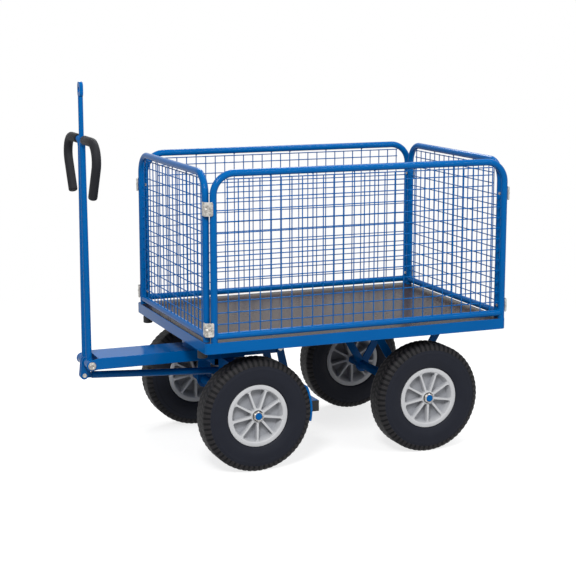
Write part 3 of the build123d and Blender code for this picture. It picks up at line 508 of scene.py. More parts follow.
still = Matrix.Identity(4)
screw_head = lathed([
    (0, head_rise), (0.0020, 0.0038), (0.0037, 0.0031), (0.0050, 0.0018), (head_r, 0.0004),
    (head_r, 0), (shank_r, 0), (shank_r, -nut_far), (0, -nut_far),
], steps=24)
screw_nut = lathed([
    (shank_r, -nut_near), (nut_corner_r, -nut_near), (head_r, -nut_near - nut_arris),
    (head_r, -nut_far + nut_arris), (nut_corner_r, -nut_far), (shank_r, -nut_far),
], steps=24, flat_r=nut_flat_r)
screw = placed("clip_screw", together("clip_screw", (screw_head, still), (screw_nut, still)))


def new_tree(name, inputs, output):
    """An empty tree that turns geometry into geometry, and the node of its named inputs."""
    tree = bpy.data.node_groups.new(name, "GeometryNodeTree")
    for label, kind in inputs.items():
        tree.interface.new_socket(label, in_out="INPUT", socket_type="NodeSocket" + kind)
    tree.interface.new_socket(output, in_out="OUTPUT", socket_type="NodeSocketGeometry")
    return tree, add(tree, "NodeGroupInput")


# Tree that sets a copy of one piece on each seat, with its Z axis the way the seat faces.
on_seats, given = new_tree("set_on_seats", {
    "Seats": "Geometry", "Piece": "Object", "Finish": "Material",
}, "Pieces")
facing = add(
    on_seats, "GeometryNodeInputNamedAttribute", {"Name": "facing"}, data_type="FLOAT_VECTOR",
)
copies = add(on_seats, "GeometryNodeInstanceOnPoints", {
    "Points": given.outputs["Seats"],
    "Instance": add(on_seats, "GeometryNodeObjectInfo", {
        "Object": given.outputs["Piece"],
    }).outputs["Geometry"],
    "Rotation": add(on_seats, "FunctionNodeAlignRotationToVector", {"Vector": facing}, axis="Z"),
})
add(on_seats, "NodeGroupOutput", {"Pieces": add(on_seats, "GeometryNodeSetMaterial", {
    "Geometry": add(on_seats, "GeometryNodeRealizeInstances", {"Geometry": copies}),
    "Material": given.outputs["Finish"],
})})


def grown(name, mesh, tree, sizes):
    """The plain mesh that a tree makes of a mesh, with its named inputs set to these sizes."""
    seed = placed(name, mesh)
    modifier = seed.modifiers.new(name, "NODES")
    modifier.node_group = tree
    for item in tree.interface.items_tree:
        if item.in_out == "INPUT" and item.name in sizes:
            modifier[item.identifier] = sizes[item.name]
    graph = bpy.context.evaluated_depsgraph_get()
    result = bpy.data.meshes.new_from_object(seed.evaluated_get(graph))
    seed.modifiers.clear()
    bpy.data.objects.remove(seed)
    smoothed(result)
    return result


mesh = bpy.data.meshes.new("clip_seats")
mesh.from_pydata([at for at, out in clip_seats], [], [])
facing = mesh.attributes.new("facing", "FLOAT_VECTOR", "POINT")
for value, (at, out) in zip(facing.data, clip_seats):
    value.vector = out
mesh = grown("clip_screws_set", mesh, on_seats, {"Piece": screw, "Finish": zinc_plate})
piece_of("clip_screws_set", mesh, zinc_plate, "zinc", "bed", "clip_screws")
bpy.data.objects.remove(screw)

# Wheels
# Pneumatic tyres on moulded polypropylene rims with nine tapered spokes on each face.
# A nylon bush in the hub runs on the axle's stub and a zinc nut keeps the wheel on.
wheel_r = 0.206
ring_r = 0.0985
hub_r = 0.024
spoke_face = 0.038
web_face = 0.0125
pocket_lip = 0.001
wheel_steps = 180
lug_count = 62
groove_r = 0.184

# Black tyre rubber: matt and slightly blue on the moulded sidewall, with pores of about 1 mm.
# Dust lies in patches of about 35 mm, and the tread blocks are paler. The casing in the grooves
# between them is painted near black, as painted shade.
tyre_rubber, tree, place = new_finish("tyre_rubber")
dust = add(tree, "ShaderNodeTexNoise", {"Vector": place, "Scale": 1 / 0.035, "Detail": 4.0})
tread = add(tree, "ShaderNodeAttribute", attribute_name="tread")
wall_tone = add(tree, "ShaderNodeMixRGB", {
    "Fac": dust, "Color1": linear("#14161F"), "Color2": linear("#1C1F28"),
})
block_tone = add(tree, "ShaderNodeMixRGB", {
    "Fac": dust, "Color1": linear("#1D1D1F"), "Color2": linear("#2C2A2C"),
})
tone = add(tree, "ShaderNodeMixRGB", {
    "Fac": tread.outputs["Fac"], "Color1": wall_tone, "Color2": block_tone,
})
# Painted shade: casing marked for the grooves is drawn near black, as if in shadow between the
# blocks.
groove = add(tree, "ShaderNodeAttribute", attribute_name="groove")
tone = add(tree, "ShaderNodeMixRGB", {
    "Fac": groove.outputs["Fac"], "Color1": tone, "Color2": linear("#07080B"),
})
gloss = add(tree, "ShaderNodeMapRange", {"Value": dust, "To Min": 0.50, "To Max": 0.68})
pores = add(tree, "ShaderNodeTexNoise", {"Vector": place, "Scale": 1 / 0.001, "Detail": 2.0})
skin = add(tree, "ShaderNodeBump", {"Height": pores, "Strength": 0.3, "Distance": 0.0001})
add(tree, "ShaderNodeOutputMaterial", {"Surface": add(tree, "ShaderNodeBsdfPrincipled", {
    "Base Color": tone, "Roughness": gloss, "Normal": skin, "Specular IOR Level": 0.15,
})})

# Polypropylene, injection moulded in light grey and silky, with painted shade that darkens it deep
# in the pockets.
# Flow marks are about 60 mm long. A spark-eroded mould leaves a grain of about 0.6 mm, which is
# drawn at 1.5 mm so that it shows.
rim_plastic, tree, place = new_finish("moulded_polypropylene")
flow = add(tree, "ShaderNodeTexNoise", {"Vector": place, "Scale": 1 / 0.060, "Detail": 2.0})
spark = add(tree, "ShaderNodeTexNoise", {"Vector": place, "Scale": 1 / 0.0015, "Detail": 1.0})
tone = add(tree, "ShaderNodeMixRGB", {
    "Fac": flow, "Color1": linear("#BDBEC1"), "Color2": linear("#C9CACC"),
})
tone = add(tree, "ShaderNodeMixRGB", {
    "Fac": add(tree, "ShaderNodeMapRange", {"Value": spark, "To Max": 0.25}),
    "Color1": tone, "Color2": linear("#9A9CA0"),
})
from_middle = add(tree, "ShaderNodeMath", {
    0: add(tree, "ShaderNodeAttribute", attribute_name="from_middle").outputs["Fac"],
}, operation="ABSOLUTE")
# Painted shade: from the spoke faces down to the web, the grey darkens into the pockets.
tone = add(tree, "ShaderNodeMixRGB", {
    "Fac": add(tree, "ShaderNodeMapRange", {
        "Value": from_middle, "From Min": spoke_face - pocket_lip, "From Max": web_face,
    }),
    "Color1": tone, "Color2": linear("#94969B"),
})
gloss = add(tree, "ShaderNodeMapRange", {"Value": flow, "To Min": 0.36, "To Max": 0.48})
skin = add(tree, "ShaderNodeBump", {"Height": spark, "Strength": 0.2, "Distance": 0.00008})
add(tree, "ShaderNodeOutputMaterial", {"Surface": add(tree, "ShaderNodeBsdfPrincipled", {
    "Base Color": tone, "Roughness": gloss, "Normal": skin, "Specular IOR Level": 0.3,
})})

# Nylon of the bushes, cast and turned: off-white, waxy and cloudy over about 10 mm.
nylon, tree, place = new_finish("cast_nylon")
haze = add(tree, "ShaderNodeTexNoise", {"Vector": place, "Scale": 1 / 0.010, "Detail": 2.0})
tone = add(tree, "ShaderNodeMixRGB", {
    "Fac": haze, "Color1": linear("#D6D2C6"), "Color2": linear("#E3E0D6"),
})
gloss = add(tree, "ShaderNodeMapRange", {"Value": haze, "To Min": 0.38, "To Max": 0.50})
add(tree, "ShaderNodeOutputMaterial", {"Surface": add(tree, "ShaderNodeBsdfPrincipled", {
    "Base Color": tone, "Roughness": gloss,
})})

# Casing: the sidewall swells from the bead to the shoulder, with two moulded rings on it.
casing_side = [
    (0.1036, 0.0335), (0.1139, 0.0337), (0.1142, 0.0372), (0.1165, 0.0400), (0.1190, 0.0418),
    (0.1215, 0.0440), (0.1235, 0.0444), (0.1260, 0.0452), (0.1340, 0.0488), (0.1430, 0.0508),
    (0.1500, 0.0513), (0.1570, 0.0513), (0.1640, 0.0509), (0.1700, 0.0504), (0.1712, 0.0508),
    (0.1730, 0.0507), (0.1742, 0.0501), (0.1800, 0.0493), (0.1830, 0.0486), (0.1850, 0.0479),
    (0.1900, 0.0460), (0.1955, 0.0432), (0.2002, 0.0398), (0.2035, 0.0361), (0.2048, 0.0320),
    (0.2051, 0.0250), (0.2051, 0.0120),
]
casing_inside = [(0.1960, -0.0200), (0.1500, -0.0420), (0.1036, -0.0250)]
casing_profile = (
    casing_side + [(0.2051, 0.0)] + [(r, -z) for r, z in reversed(casing_side)]
    + [(r, z) for r, z in reversed(casing_inside)] + [(r, -z) for r, z in casing_inside]
)

# Tread: one pitch of the pattern, a long lug over each shoulder and two short blocks between.
pitch_length = 2 * pi * wheel_r / lug_count
lug_width = 0.56 * pitch_length
block_width = 0.60 * pitch_length
block_lean = 0.55
block_arris = 0.0007
tread_pitch = bmesh.new()


def tread_block(outline, start, end, lean):
    """A block of the tread from an outline across the tyre, between two places round it."""
    ends = []
    for at in (start, end):
        turns = [(r, (at + lean * y) / wheel_r, y) for r, y in outline]
        ends.append([tread_pitch.verts.new((r * cos(t), r * sin(t), y)) for r, t, y in turns])
    count = len(outline)
    for i in range(count):
        j = (i + 1) % count
        tread_pitch.faces.new([ends[0][i], ends[0][j], ends[1][j], ends[1][i]])
    tread_pitch.faces.new(ends[0])
    tread_pitch.faces.new(list(reversed(ends[1])))


shoulder_lug = [
    (0.2057, 0.0255), (0.2057, 0.0335), (0.2042, 0.0372), (0.2010, 0.0408), (0.1965, 0.0444),
    (0.1915, 0.0474), (0.1865, 0.0495), (0.1830, 0.0500), (0.1825, 0.0480), (0.1900, 0.0440),
    (0.1975, 0.0370), (0.2005, 0.0255),
]
middle_block = [(0.2057, 0.0030), (0.2057, 0.0205), (0.2005, 0.0205), (0.2005, 0.0030)]
for hand in (1, -1):
    shift = 0.0 if hand > 0 else pitch_length / 2
    for outline, width, lean, offset in (
        (shoulder_lug, lug_width, 0.0, 0.0),
        (middle_block, block_width, block_lean, pitch_length / 3),
    ):
        middle = shift + offset
        tread_block(
            [(r, hand * y) for r, y in outline], middle - width / 2, middle + width / 2,
            hand * lean,
        )
bmesh.ops.recalc_face_normals(tread_pitch, faces=tread_pitch.faces)
pitch = placed("tread_pitch", meshed("tread_pitch", tread_pitch))
bevelled(pitch, block_arris, limit=radians(40), segments=1)

# Tree that sets copies of one piece round the Z axis and joins them to the mesh it is given.
round_axis, given = new_tree("set_round_axis", {
    "Body": "Geometry", "Piece": "Object", "Count": "Int", "Finish": "Material",
}, "Body")
piece_in = add(round_axis, "GeometryNodeObjectInfo", {"Object": given.outputs["Piece"]})
points = add(round_axis, "GeometryNodePoints", {"Count": given.outputs["Count"]})
share = add(round_axis, "ShaderNodeMath", {
    0: add(round_axis, "GeometryNodeInputIndex"), 1: given.outputs["Count"],
}, operation="DIVIDE")
turn = add(round_axis, "ShaderNodeMath", {0: share, 1: 2 * pi}, operation="MULTIPLY")
copies = add(round_axis, "GeometryNodeInstanceOnPoints", {
    "Points": points, "Instance": piece_in.outputs["Geometry"],
    "Rotation": add(round_axis, "ShaderNodeCombineXYZ", {"Z": turn}),
})
marked = add(round_axis, "GeometryNodeStoreNamedAttribute", {
    "Geometry": add(round_axis, "GeometryNodeRealizeInstances", {"Geometry": copies}),
    "Name": "tread", "Value": 1.0,
}, data_type="FLOAT", domain="POINT")
joined = add(round_axis, "GeometryNodeJoinGeometry")
round_axis.links.new(marked.outputs[0], joined.inputs[0])
round_axis.links.new(given.outputs["Body"], joined.inputs[0])
add(round_axis, "NodeGroupOutput", {"Body": add(round_axis, "GeometryNodeSetMaterial", {
    "Geometry": joined, "Material": given.outputs["Finish"],
})})
casing = lathed(casing_profile, wheel_steps)
# Painted shade: the casing beyond groove_r, in the grooves between the blocks, is marked to be
# drawn near black.
groove = casing.attributes.new("groove", "FLOAT", "POINT")
for value, corner in zip(groove.data, casing.vertices):
    value.value = 1.0 if corner.co.xy.length > groove_r else 0.0
tyre_mesh = grown("tyre", casing, round_axis, {
    "Piece": pitch, "Count": lug_count, "Finish": tyre_rubber,
})
bpy.data.objects.remove(pitch)


def rounded(outline, radii, steps=6):
    """A closed outline with each corner rounded to its own radius, or left sharp at nought."""
    points = []
    for i, radius in enumerate(radii):
        before, corner, after = outline[i - 1], outline[i], outline[(i + 1) % len(outline)]
        points += turn_at(before, corner, after, radius, steps) if radius else [corner]
    return points


# Spokes: a flat moulding with nine pockets, round-cornered, that runs into the hub and ring.
spoke_count = 9
spoke_hub = 0.0085
spoke_rim = 0.0062
spoke_edge = 0.0006
hub_hole = 0.0222
ring_lap = 0.003
pocket_root = 0.0262
pocket_rim = 0.0966
root_corner = 0.0015
rim_corner = 0.008
arc_cuts = 5
spokes = bpy.data.curves.new("rim_spokes", "CURVE")
spokes.dimensions = "2D"
spokes.fill_mode = "BOTH"
spokes.extrude = spoke_face - spoke_edge
spokes.bevel_depth = spoke_edge
spokes.bevel_resolution = 2
spokes.offset = -spoke_edge
pocket_step = 2 * pi / spoke_count
outlines = [ring(forward, sideways, r, steps=144)[:-1] for r in (ring_r + ring_lap, hub_hole)]


def spoke_side(r):
    """Half the spoke's angle at a radius, from its taper between the hub and the ring."""
    share = (r - hub_r) / (ring_r - hub_r)
    return (spoke_hub + (spoke_rim - spoke_hub) * share) / 2 / r


pocket_corners = [root_corner] * 2 + [rim_corner] + [0] * (arc_cuts - 1) + [rim_corner]
for i in range(spoke_count):
    start = -pi / 2 + pocket_step * i
    end = start + pocket_step
    root_ends = (end - spoke_side(pocket_root), start + spoke_side(pocket_root))
    first, last = start + spoke_side(pocket_rim), end - spoke_side(pocket_rim)
    arc = [first + (last - first) * j / arc_cuts for j in range(arc_cuts + 1)]
    corners = [Vector((pocket_root * cos(a), pocket_root * sin(a), 0)) for a in root_ends]
    corners += [Vector((pocket_rim * cos(a), pocket_rim * sin(a), 0)) for a in arc]
    outlines.append(rounded(corners, pocket_corners))
spoke_mesh = drawn(spokes, outlines, closed=True)

# Body of the rim: hub, web, sloping wall and flange, with the web nearer to the outer face.
rim_flange = [
    (0.0972, 0.0376), (0.0978, 0.0390), (0.0990, 0.0397), (0.1005, 0.0400), (0.1118, 0.0400),
    (0.1130, 0.0396), (0.1135, 0.0385), (0.1135, 0.0352), (0.1128, 0.0340), (0.1030, 0.0340),
]
rim_profile = [
    (0.0160, 0.0270), (0.0205, 0.0270), (0.0205, 0.0392), (0.0213, 0.0400), (0.0232, 0.0400),
    (0.0240, 0.0392), (0.0240, 0.0155), (0.0249, 0.0133), (0.0270, 0.0125), (0.0862, 0.0125),
    (0.0872, 0.0128), (0.0878, 0.0136), (0.0955, 0.0290),
] + rim_flange + [(r, -z) for r, z in reversed(rim_flange)] + [
    (0.0775, 0.0020), (0.0757, 0.0038), (0.0730, 0.0045), (0.0270, 0.0045), (0.0249, 0.0037),
    (0.0240, 0.0015), (0.0240, -0.0392), (0.0232, -0.0400), (0.0160, -0.0400),
]
rim_mesh = together("rim", (lathed(rim_profile, wheel_steps), still), (spoke_mesh, still))
# The height off the rim's middle plane, which the painted pocket shade reads.
from_middle = rim_mesh.attributes.new("from_middle", "FLOAT", "POINT")
for value, corner in zip(from_middle.data, rim_mesh.vertices):
    value.value = corner.co.z


def wheel_seat(centre, side):
    """The place of a piece turned round Z whose outer face looks to the left or the right."""
    return Matrix.Translation(centre) @ Matrix((
        (-side, 0, 0, 0), (0, 0, side, 0), (0, 1, 0, 0), (0, 0, 0, 1),
    ))


for wheel in ("front_left", "front_right", "rear_left", "rear_right"):
    low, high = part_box("tyre_" + wheel)
    seat = wheel_seat((low + high) / 2, 1 if wheel.endswith("left") else -1)
    for name, mesh, finish, slot in (
        ("tyre_", tyre_mesh, tyre_rubber, "tyre_rubber"),
        ("rim_", rim_mesh, rim_plastic, "rim_plastic"),
    ):
        copy = mesh.copy()
        copy.transform(seat)
        piece_of(
            name + "finished_" + wheel, copy, finish, slot, "wheel_" + wheel, name + wheel,
        )
    paint(nylon, "bush_" + wheel)

# Axles and wheel nuts
# A turned bar carries each pair of wheels. Its painted stub ends show in the hubs.
# A zinc-plated nut, round-faced with six flats, keeps the wheel on.
collar_length = 0.022
collar_flat_r = 0.0166
eased("front_axle", powder_coat, "blue_paint", arris=0.0012)
eased("rear_axle", powder_coat, "blue_paint", arris=0.0012)
collar = lathed([
    (0.0126, 0.0), (0.0187, 0.0), (0.0187, 0.0200), (0.0160, 0.0217), (0.0150, collar_length),
    (0.0138, collar_length), (0.0126, 0.0208),
], steps=72, flat_r=collar_flat_r)
for end, body in (("front", "bogie"), ("rear", "bed")):
    low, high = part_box(end + "_axle_collars")
    middle = (low + high) / 2
    mesh = together(
        end + "_wheel_nuts",
        (collar, wheel_seat((middle.x, high.y - collar_length, middle.z), 1)),
        (collar, wheel_seat((middle.x, low.y + collar_length, middle.z), -1)),
    )
    piece_of(end + "_wheel_nuts", mesh, zinc_plate, "zinc", body, end + "_axle_collars")

# Rear struts
# Flat steel bars in a V from the bearers down to the rear axle, coated with the frame.
# They are flame cut, and welded right round the axle where it goes through them.
axle_weld_steps = 24


def weld_axle(body, axle_box, plate_box):
    """Welds right round an axle, at the two outer faces of the plates that it goes through."""
    low, high = axle_box
    centre = (low + high) / 2
    radius = (high.z - low.z) / 2
    for corner in plate_box:
        face = Vector((centre.x, corner.y, centre.z))
        weld_runs[body].append([face + at for at in ring(forward, up, radius, axle_weld_steps)])


for side in ("left", "right"):
    eased("rear_strut_" + side, powder_coat, "blue_paint", arris=0.0010)
    weld_axle("bed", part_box("rear_axle"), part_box("rear_strut_" + side))

# Turntable
# Two pressed rings with a row of hard steel balls between them and a kingpin in the middle.
# The rings are coated; the kingpin and its nut are zinc plated.

# Ground steel of the balls and the spring: bright bare metal with marks of about 4 mm.
ground_steel, tree, place = new_finish("ground_steel")
marks = add(tree, "ShaderNodeTexNoise", {"Vector": place, "Scale": 1 / 0.004, "Detail": 3.0})
tone = add(tree, "ShaderNodeMixRGB", {
    "Fac": marks, "Color1": linear("#8E8D8A"), "Color2": linear("#B4B3B0"),
})
gloss = add(tree, "ShaderNodeMapRange", {"Value": marks, "To Min": 0.16, "To Max": 0.34})
add(tree, "ShaderNodeOutputMaterial", {"Surface": add(tree, "ShaderNodeBsdfPrincipled", {
    "Base Color": tone, "Roughness": gloss, "Metallic": 1.0,
})})
eased("turntable_upper", powder_coat, "blue_paint", arris=0.0015)
eased("turntable_lower", powder_coat, "blue_paint", arris=0.0015)
eased("kingpin", zinc_plate, "zinc", arris=0.0008)
paint(ground_steel, "turntable_balls", "return_spring")

# Drawbar arm and bogie
# A channel folded from 5 mm sheet, open below, with a box bolster and gussets to the axle.
# The sheet's folds and edges are rounded, and all of it is coated in one go.
eased("drawbar_arm", powder_coat, "blue_paint", arris=0.0035)
eased("bogie_bolster", powder_coat, "blue_paint", arris=0.0025)
eased("axle_gussets", powder_coat, "blue_paint", arris=0.0010)
eased("brake_carriers", powder_coat, "blue_paint", arris=0.0010)
eased("hanger_pins", zinc_plate, "zinc", arris=0.0008)
weld_axle("bogie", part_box("front_axle"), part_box("axle_gussets"))

# Hinge
# A zinc-plated bolt through the arm's ears carries the drawbar's barrel on two bushes.
# Its head has a round socket, and a washer lies under the head and under the nut.
bolt_r = 0.008
bolt_corner_r = 0.0130
bolt_flat_r = 0.01126
washer_r = 0.0145
washer_thick = 0.003
# Heights above the outer face of the arm's ear.
bolt_head = washer_thick + 0.009
bolt_shoulder = washer_thick + 0.0072
bolt_socket = washer_thick + 0.0045
bolt_end = bolt_head + 0.004
low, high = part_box("hinge_bolt")
hinge = (low + high) / 2
ear_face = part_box("hinge_washers")[1].y - washer_thick
head = lathed([
    (0, bolt_socket), (0.0042, bolt_socket), (0.0046, bolt_socket + 0.0040),
    (0.0053, bolt_head), (0.0098, bolt_head), (bolt_corner_r, bolt_shoulder),
    (bolt_corner_r, washer_thick), (bolt_r, washer_thick), (bolt_r, -ear_face), (0, -ear_face),
], steps=48, flat_r=bolt_flat_r)
nut = lathed([
    (0, 0), (bolt_r, 0), (bolt_r, washer_thick), (0.0118, washer_thick),
    (bolt_corner_r, washer_thick + 0.0008), (bolt_corner_r, bolt_shoulder), (0.0098, bolt_head),
    (bolt_r, bolt_head), (bolt_r, bolt_end - 0.0012), (0.0068, bolt_end), (0, bolt_end),
], steps=48, flat_r=bolt_flat_r)
washer = lathed([
    (bolt_r, 0), (0.0138, 0), (washer_r, 0.0006), (washer_r, washer_thick - 0.0006),
    (0.0138, washer_thick), (bolt_r, washer_thick),
], steps=48)
left_ear = wheel_seat((hinge.x, ear_face, hinge.z), 1)
right_ear = wheel_seat((hinge.x, -ear_face, hinge.z), -1)
mesh = together(
    "hinge_fastening", (head, left_ear), (washer, left_ear), (nut, right_ear), (washer, right_ear),
)
piece_of(
    "hinge_fastening", mesh, zinc_plate, "zinc", "bogie", "hinge_bolt", "hinge_washers",
)
eased("hinge_barrel", powder_coat, "blue_paint", arris=0.0012)
paint(nylon, "hinge_bushes")

# Drawbar
# Two tubes that lean together from the barrel, turn out at the top and make two hand loops.
# They are welded to the barrel below and to each other round the foot of the towing eye.
post_r = 0.011
post_spread = 0.060
post_close = 0.023
post_bend_z = 1.139
horn_z = 1.181
horn_root_r = 0.030
horn_r = 0.062
horn_corner_y = 0.240
horn_end = (0.140, 0.988)
barrel_r = 0.018
# Each tube starts a little inside the barrel, so that the notch at its foot is filled.
foot_rise = 0.8 * barrel_r
# Depth and height of the two ends of the weld in the fork.
fork_weld = ((0.0035, 1.06), (0.0040, 1.135))
post_lean = (post_spread - post_close) / 2 / (post_bend_z - hinge.z)
foot_z = hinge.z + foot_rise
foot_y = post_spread / 2 - post_lean * (foot_z - hinge.z)
root_y = post_spread / 2 - post_lean * (horn_z - hinge.z)
for side, hand in (("left", 1), ("right", -1)):
    run = bent([
        Vector((hinge.x, hand * y, z)) for y, z in (
            (foot_y, foot_z), (root_y, horn_z), (horn_corner_y, horn_z), horn_end,
        )
    ], [horn_root_r, horn_r])
    mesh = swept("drawbar_post_" + side, run, post_r, sides=8)
    piece_of(
        "drawbar_post_" + side, mesh, powder_coat, "blue_paint", "drawbar", "drawbar_tube_" + side,
    )
    base = Vector((hinge.x, hand * foot_y, hinge.z))
    weld_runs["drawbar"].append([
        base + at + up * sqrt(barrel_r ** 2 - at.x ** 2)
        for at in ring(forward, sideways * hand, post_r, steps=32)
    ])
for face in (1, -1):
    weld_runs["drawbar"].append([
        Vector((hinge.x + face * depth, 0, z)) for depth, z in fork_weld
    ])

# Towing eye
# A forged steel eye on a round rod, which stands in the fork of the two tubes.
# It is welded in between them and coated with them.
eased("towing_eye", powder_coat, "blue_paint", arris=0.0030)

# Hand grips
# Sleeves of black closed-cell foam pushed over the hand loops, closed and rounded at the tip.
# They grip the tube by themselves.

# Closed-cell foam: dull black, worn smoother in patches of about 30 mm.
# Its cells are about 0.5 mm across, drawn at 1.5 mm so that they show.
grip_foam, tree, place = new_finish("closed_cell_foam")
cells = add(tree, "ShaderNodeTexVoronoi", {"Vector": place, "Scale": 1 / 0.0015})
wear = add(tree, "ShaderNodeTexNoise", {"Vector": place, "Scale": 1 / 0.030, "Detail": 3.0})
tone = add(tree, "ShaderNodeMixRGB", {
    "Fac": wear, "Color1": linear("#141518"), "Color2": linear("#1E1F24"),
})
gloss = add(tree, "ShaderNodeMapRange", {"Value": wear, "To Min": 0.60, "To Max": 0.78})
skin = add(tree, "ShaderNodeBump", {
    "Height": cells.outputs["Distance"], "Strength": 0.4, "Distance": 0.0002,
})
add(tree, "ShaderNodeOutputMaterial", {"Surface": add(tree, "ShaderNodeBsdfPrincipled", {
    "Base Color": tone, "Roughness": gloss, "Normal": skin, "Specular IOR Level": 0.2,
})})
grip_r = 0.0165
grip_start_y = 0.042
grip_cap = 0.006
mouth = ((0.0, 0.86), (0.0008, 0.95), (0.0025, 1.0))
tip = ((0.0, 0.62), (0.0006, 0.76), (0.0020, 0.90), (0.0045, 0.98), (0.0070, 1.0))
for side, hand in (("left", 1), ("right", -1)):
    corner = Vector((hinge.x, hand * horn_corner_y, horn_z))
    end = Vector((hinge.x, hand * horn_end[0], horn_end[1]))
    end += (end - corner).normalized() * grip_cap
    run = bent([Vector((hinge.x, hand * grip_start_y, horn_z)), corner, end], [horn_r])
    into = (run[1] - run[0]).normalized()
    back = (run[-2] - run[-1]).normalized()
    sleeve = [(*(run[0] + into * at), share) for at, share in mouth]
    sleeve += [(*at, 1.0) for at in run[1:-1]]
    sleeve += [(*(run[-1] + back * at), share) for at, share in reversed(tip)]
    mesh = swept("foam_sleeve_" + side, sleeve, grip_r, sides=8)
    piece_of("foam_sleeve_" + side, mesh, grip_foam, "foam", "drawbar", "grip_" + side)

# Brake
# A lever on the barrel pulls a tube that swings a beam with two curved shoes at the tyres.
# The linkage is flat bar and box tube, coated blue, with plain pins and plastic end caps.

# Polyethylene, moulded in black: dull and waxy, with a mottle of about 8 mm.
moulded_black, tree, place = new_finish("moulded_polyethylene")
mottle = add(tree, "ShaderNodeTexNoise", {"Vector": place, "Scale": 1 / 0.008, "Detail": 3.0})
tone = add(tree, "ShaderNodeMixRGB", {
    "Fac": mottle, "Color1": linear("#141517"), "Color2": linear("#1E1F22"),
})
gloss = add(tree, "ShaderNodeMapRange", {"Value": mottle, "To Min": 0.40, "To Max": 0.55})
add(tree, "ShaderNodeOutputMaterial", {"Surface": add(tree, "ShaderNodeBsdfPrincipled", {
    "Base Color": tone, "Roughness": gloss, "Specular IOR Level": 0.3,
})})
for node in ("brake_lever", "brake_rod", "brake_beam", "brake_hangers", "brake_shoes"):
    eased(node, powder_coat, "blue_paint", arris=0.0010)
for node in ("lever_pin", "rod_pin"):
    eased(node, zinc_plate, "zinc", arris=0.0008)
eased("beam_caps", moulded_black, "black_plastic", arris=0.0015)

# Frame buffers
# Two round buffers of moulded black rubber, fixed under the front rail.
# Their skin is as dull as that of the beam's end caps, so they share its finish.
eased("frame_buffers", moulded_black, "black_rubber", arris=0.0030)

# Welds
# Beads laid one by one along each joint with a hand torch, and coated over with the rest.
# Their sizes vary a little, as hand work does.
bead_step = 0.0022
bead_half = 0.0019
bead_least = 0.8
bead_most = 1.2
bead_seed = 7
lay_beads, given = new_tree("lay_weld_beads", {
    "Runs": "Geometry", "Step": "Float", "Half": "Float", "Seed": "Int", "Finish": "Material",
}, "Beads")
spots = add(lay_beads, "GeometryNodeCurveToPoints", {
    "Curve": add(lay_beads, "GeometryNodeMeshToCurve", {"Mesh": given.outputs["Runs"]}),
    "Length": given.outputs["Step"],
}, mode="LENGTH")
uneven = add(lay_beads, "FunctionNodeRandomValue", {
    2: bead_least, 3: bead_most, "Seed": given.outputs["Seed"],
})
wide = add(lay_beads, "ShaderNodeMath", {
    0: uneven.outputs[1], 1: given.outputs["Half"],
}, operation="MULTIPLY")
beads = add(lay_beads, "GeometryNodeInstanceOnPoints", {
    "Points": spots,
    "Instance": add(lay_beads, "GeometryNodeMeshUVSphere", {
        "Segments": 8, "Rings": 5, "Radius": 1.0,
    }),
    "Rotation": spots.outputs["Rotation"],
    "Scale": add(lay_beads, "ShaderNodeCombineXYZ", {
        "X": wide, "Y": wide, "Z": given.outputs["Step"],
    }),
})
add(lay_beads, "NodeGroupOutput", {"Beads": add(lay_beads, "GeometryNodeSetMaterial", {
    "Geometry": add(lay_beads, "GeometryNodeRealizeInstances", {"Geometry": beads}),
    "Material": given.outputs["Finish"],
})})
for body, runs in weld_runs.items():
    corners = []
    links = []
    for run in runs:
        links += [(len(corners) + i, len(corners) + i + 1) for i in range(len(run) - 1)]
        corners += run
    mesh = bpy.data.meshes.new("weld_runs_" + body)
    mesh.from_pydata(corners, links, [])
    mesh = grown("weld_beads_" + body, mesh, lay_beads, {
        "Step": bead_step, "Half": bead_half, "Seed": bead_seed, "Finish": powder_coat,
    })
    piece_of("weld_beads_" + body, mesh, powder_coat, "blue_paint", body)

# Floor and light
# A pale studio floor that keeps the shadow and fades into the white surround.
# Large soft lamps stand before the trolley, beside it, behind it and over it.
floor_r = 4.0
floor_z = -0.0005
floor_lift = 0.76
fade_start = 1.4
fade_end = 3.2
room_light = 0.48


def in_view(tree):
    """One where a ray comes from the camera, a mirror or glass, and nought for light itself."""
    rays = add(tree, "ShaderNodeLightPath")
    seen = rays.outputs["Is Camera Ray"]
    for kind in ("Is Glossy Ray", "Is Transmission Ray"):
        seen = add(tree, "ShaderNodeMath", {0: seen, 1: rays.outputs[kind]}, operation="MAXIMUM")
    return seen


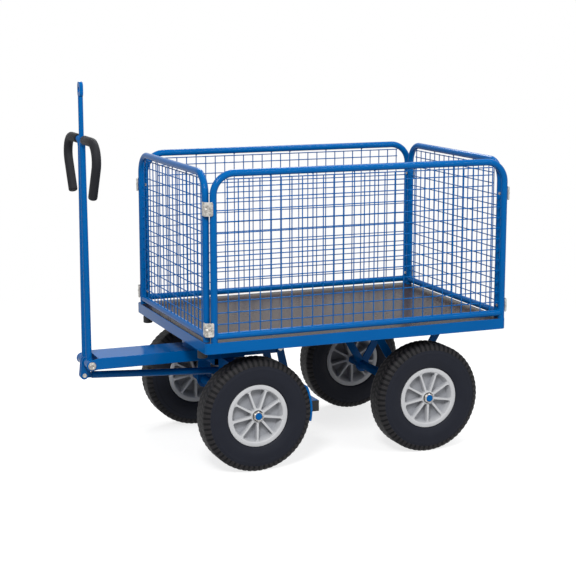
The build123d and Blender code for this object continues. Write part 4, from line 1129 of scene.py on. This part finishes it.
floor_finish, tree, place = new_finish("studio_floor")
lift = add(tree, "ShaderNodeMath", {0: in_view(tree), 1: floor_lift}, operation="MULTIPLY")
lit = add(tree, "ShaderNodeAddShader", {
    0: add(tree, "ShaderNodeBsdfDiffuse", {"Color": linear("#A4A4A4")}),
    1: add(tree, "ShaderNodeEmission", {"Strength": lift}),
})
fade = add(tree, "ShaderNodeMapRange", {
    "Value": add(tree, "ShaderNodeVectorMath", {0: place}, operation="LENGTH").outputs["Value"],
    "From Min": fade_start, "From Max": fade_end,
}, interpolation_type="SMOOTHSTEP")
add(tree, "ShaderNodeOutputMaterial", {"Surface": add(tree, "ShaderNodeMixShader", {
    0: fade, 1: lit, 2: add(tree, "ShaderNodeBsdfTransparent"),
})})
edge = [at + up * floor_z for at in ring(forward, sideways, floor_r, steps=64)[:-1]]
mesh = bpy.data.meshes.new("studio_floor")
mesh.from_pydata(edge, [], [range(len(edge))])
mesh.materials.append(floor_finish)
floor = placed("studio_floor", mesh)

world = bpy.data.worlds.new("studio")
bpy.context.scene.world = world
world.use_nodes = True
tree = world.node_tree
tree.nodes.clear()
level = add(tree, "ShaderNodeMapRange", {
    "Value": in_view(tree), "To Min": room_light, "To Max": 1.0,
})
add(tree, "ShaderNodeOutputWorld", {"Surface": add(tree, "ShaderNodeBackground", {
    "Color": linear("#FFFFFF"), "Strength": level,
})})

for name, at, aim, size, power in (
    ("softbox_front", (2.2, 3.8, 3.8), (0, 0, 0.6), (1.2, 1.2), 190),
    ("softbox_side", (-2.1, 4.2, 3.3), (0, 0, 0.6), (2.8, 0.6), 70),
    ("softbox_back", (-1.2, -4.0, 4.2), (0, 0, 0.6), (1.8, 1.8), 110),
    ("softbox_top", (-1.6, -0.3, 4.4), (0, 0, 0.5), (2.6, 1.0), 70),
):
    lamp = bpy.data.lights.new(name, "AREA")
    lamp.shape = "RECTANGLE"
    lamp.size, lamp.size_y = size
    lamp.energy = power
    stand = placed(name, lamp)
    stand.location = at
    stand.rotation_euler = (Vector(at) - Vector(aim)).to_track_quat("Z", "Y").to_euler()

# Camera
# A long lens at standing eye level, in front of the trolley's left corner.
# The lens isn't shifted, so that the other views stay centred.
camera_at = (2.0993, 5.2734, 1.6372)
camera_azimuth = radians(157.885)
camera_elevation = radians(10.451)
camera_lens = 94.53
camera = bpy.data.cameras.new("camera")
camera.lens = camera_lens
camera.sensor_width = 36.0
camera.sensor_fit = "HORIZONTAL"
stand = placed("camera", camera)
stand.location = camera_at
back = Vector((
    sin(camera_azimuth) * cos(camera_elevation),
    -cos(camera_azimuth) * cos(camera_elevation),
    sin(camera_elevation),
))
stand.rotation_euler = back.to_track_quat("Z", "Y").to_euler()
bpy.context.scene.camera = stand
bpy.context.scene.view_settings.view_transform = "Standard"
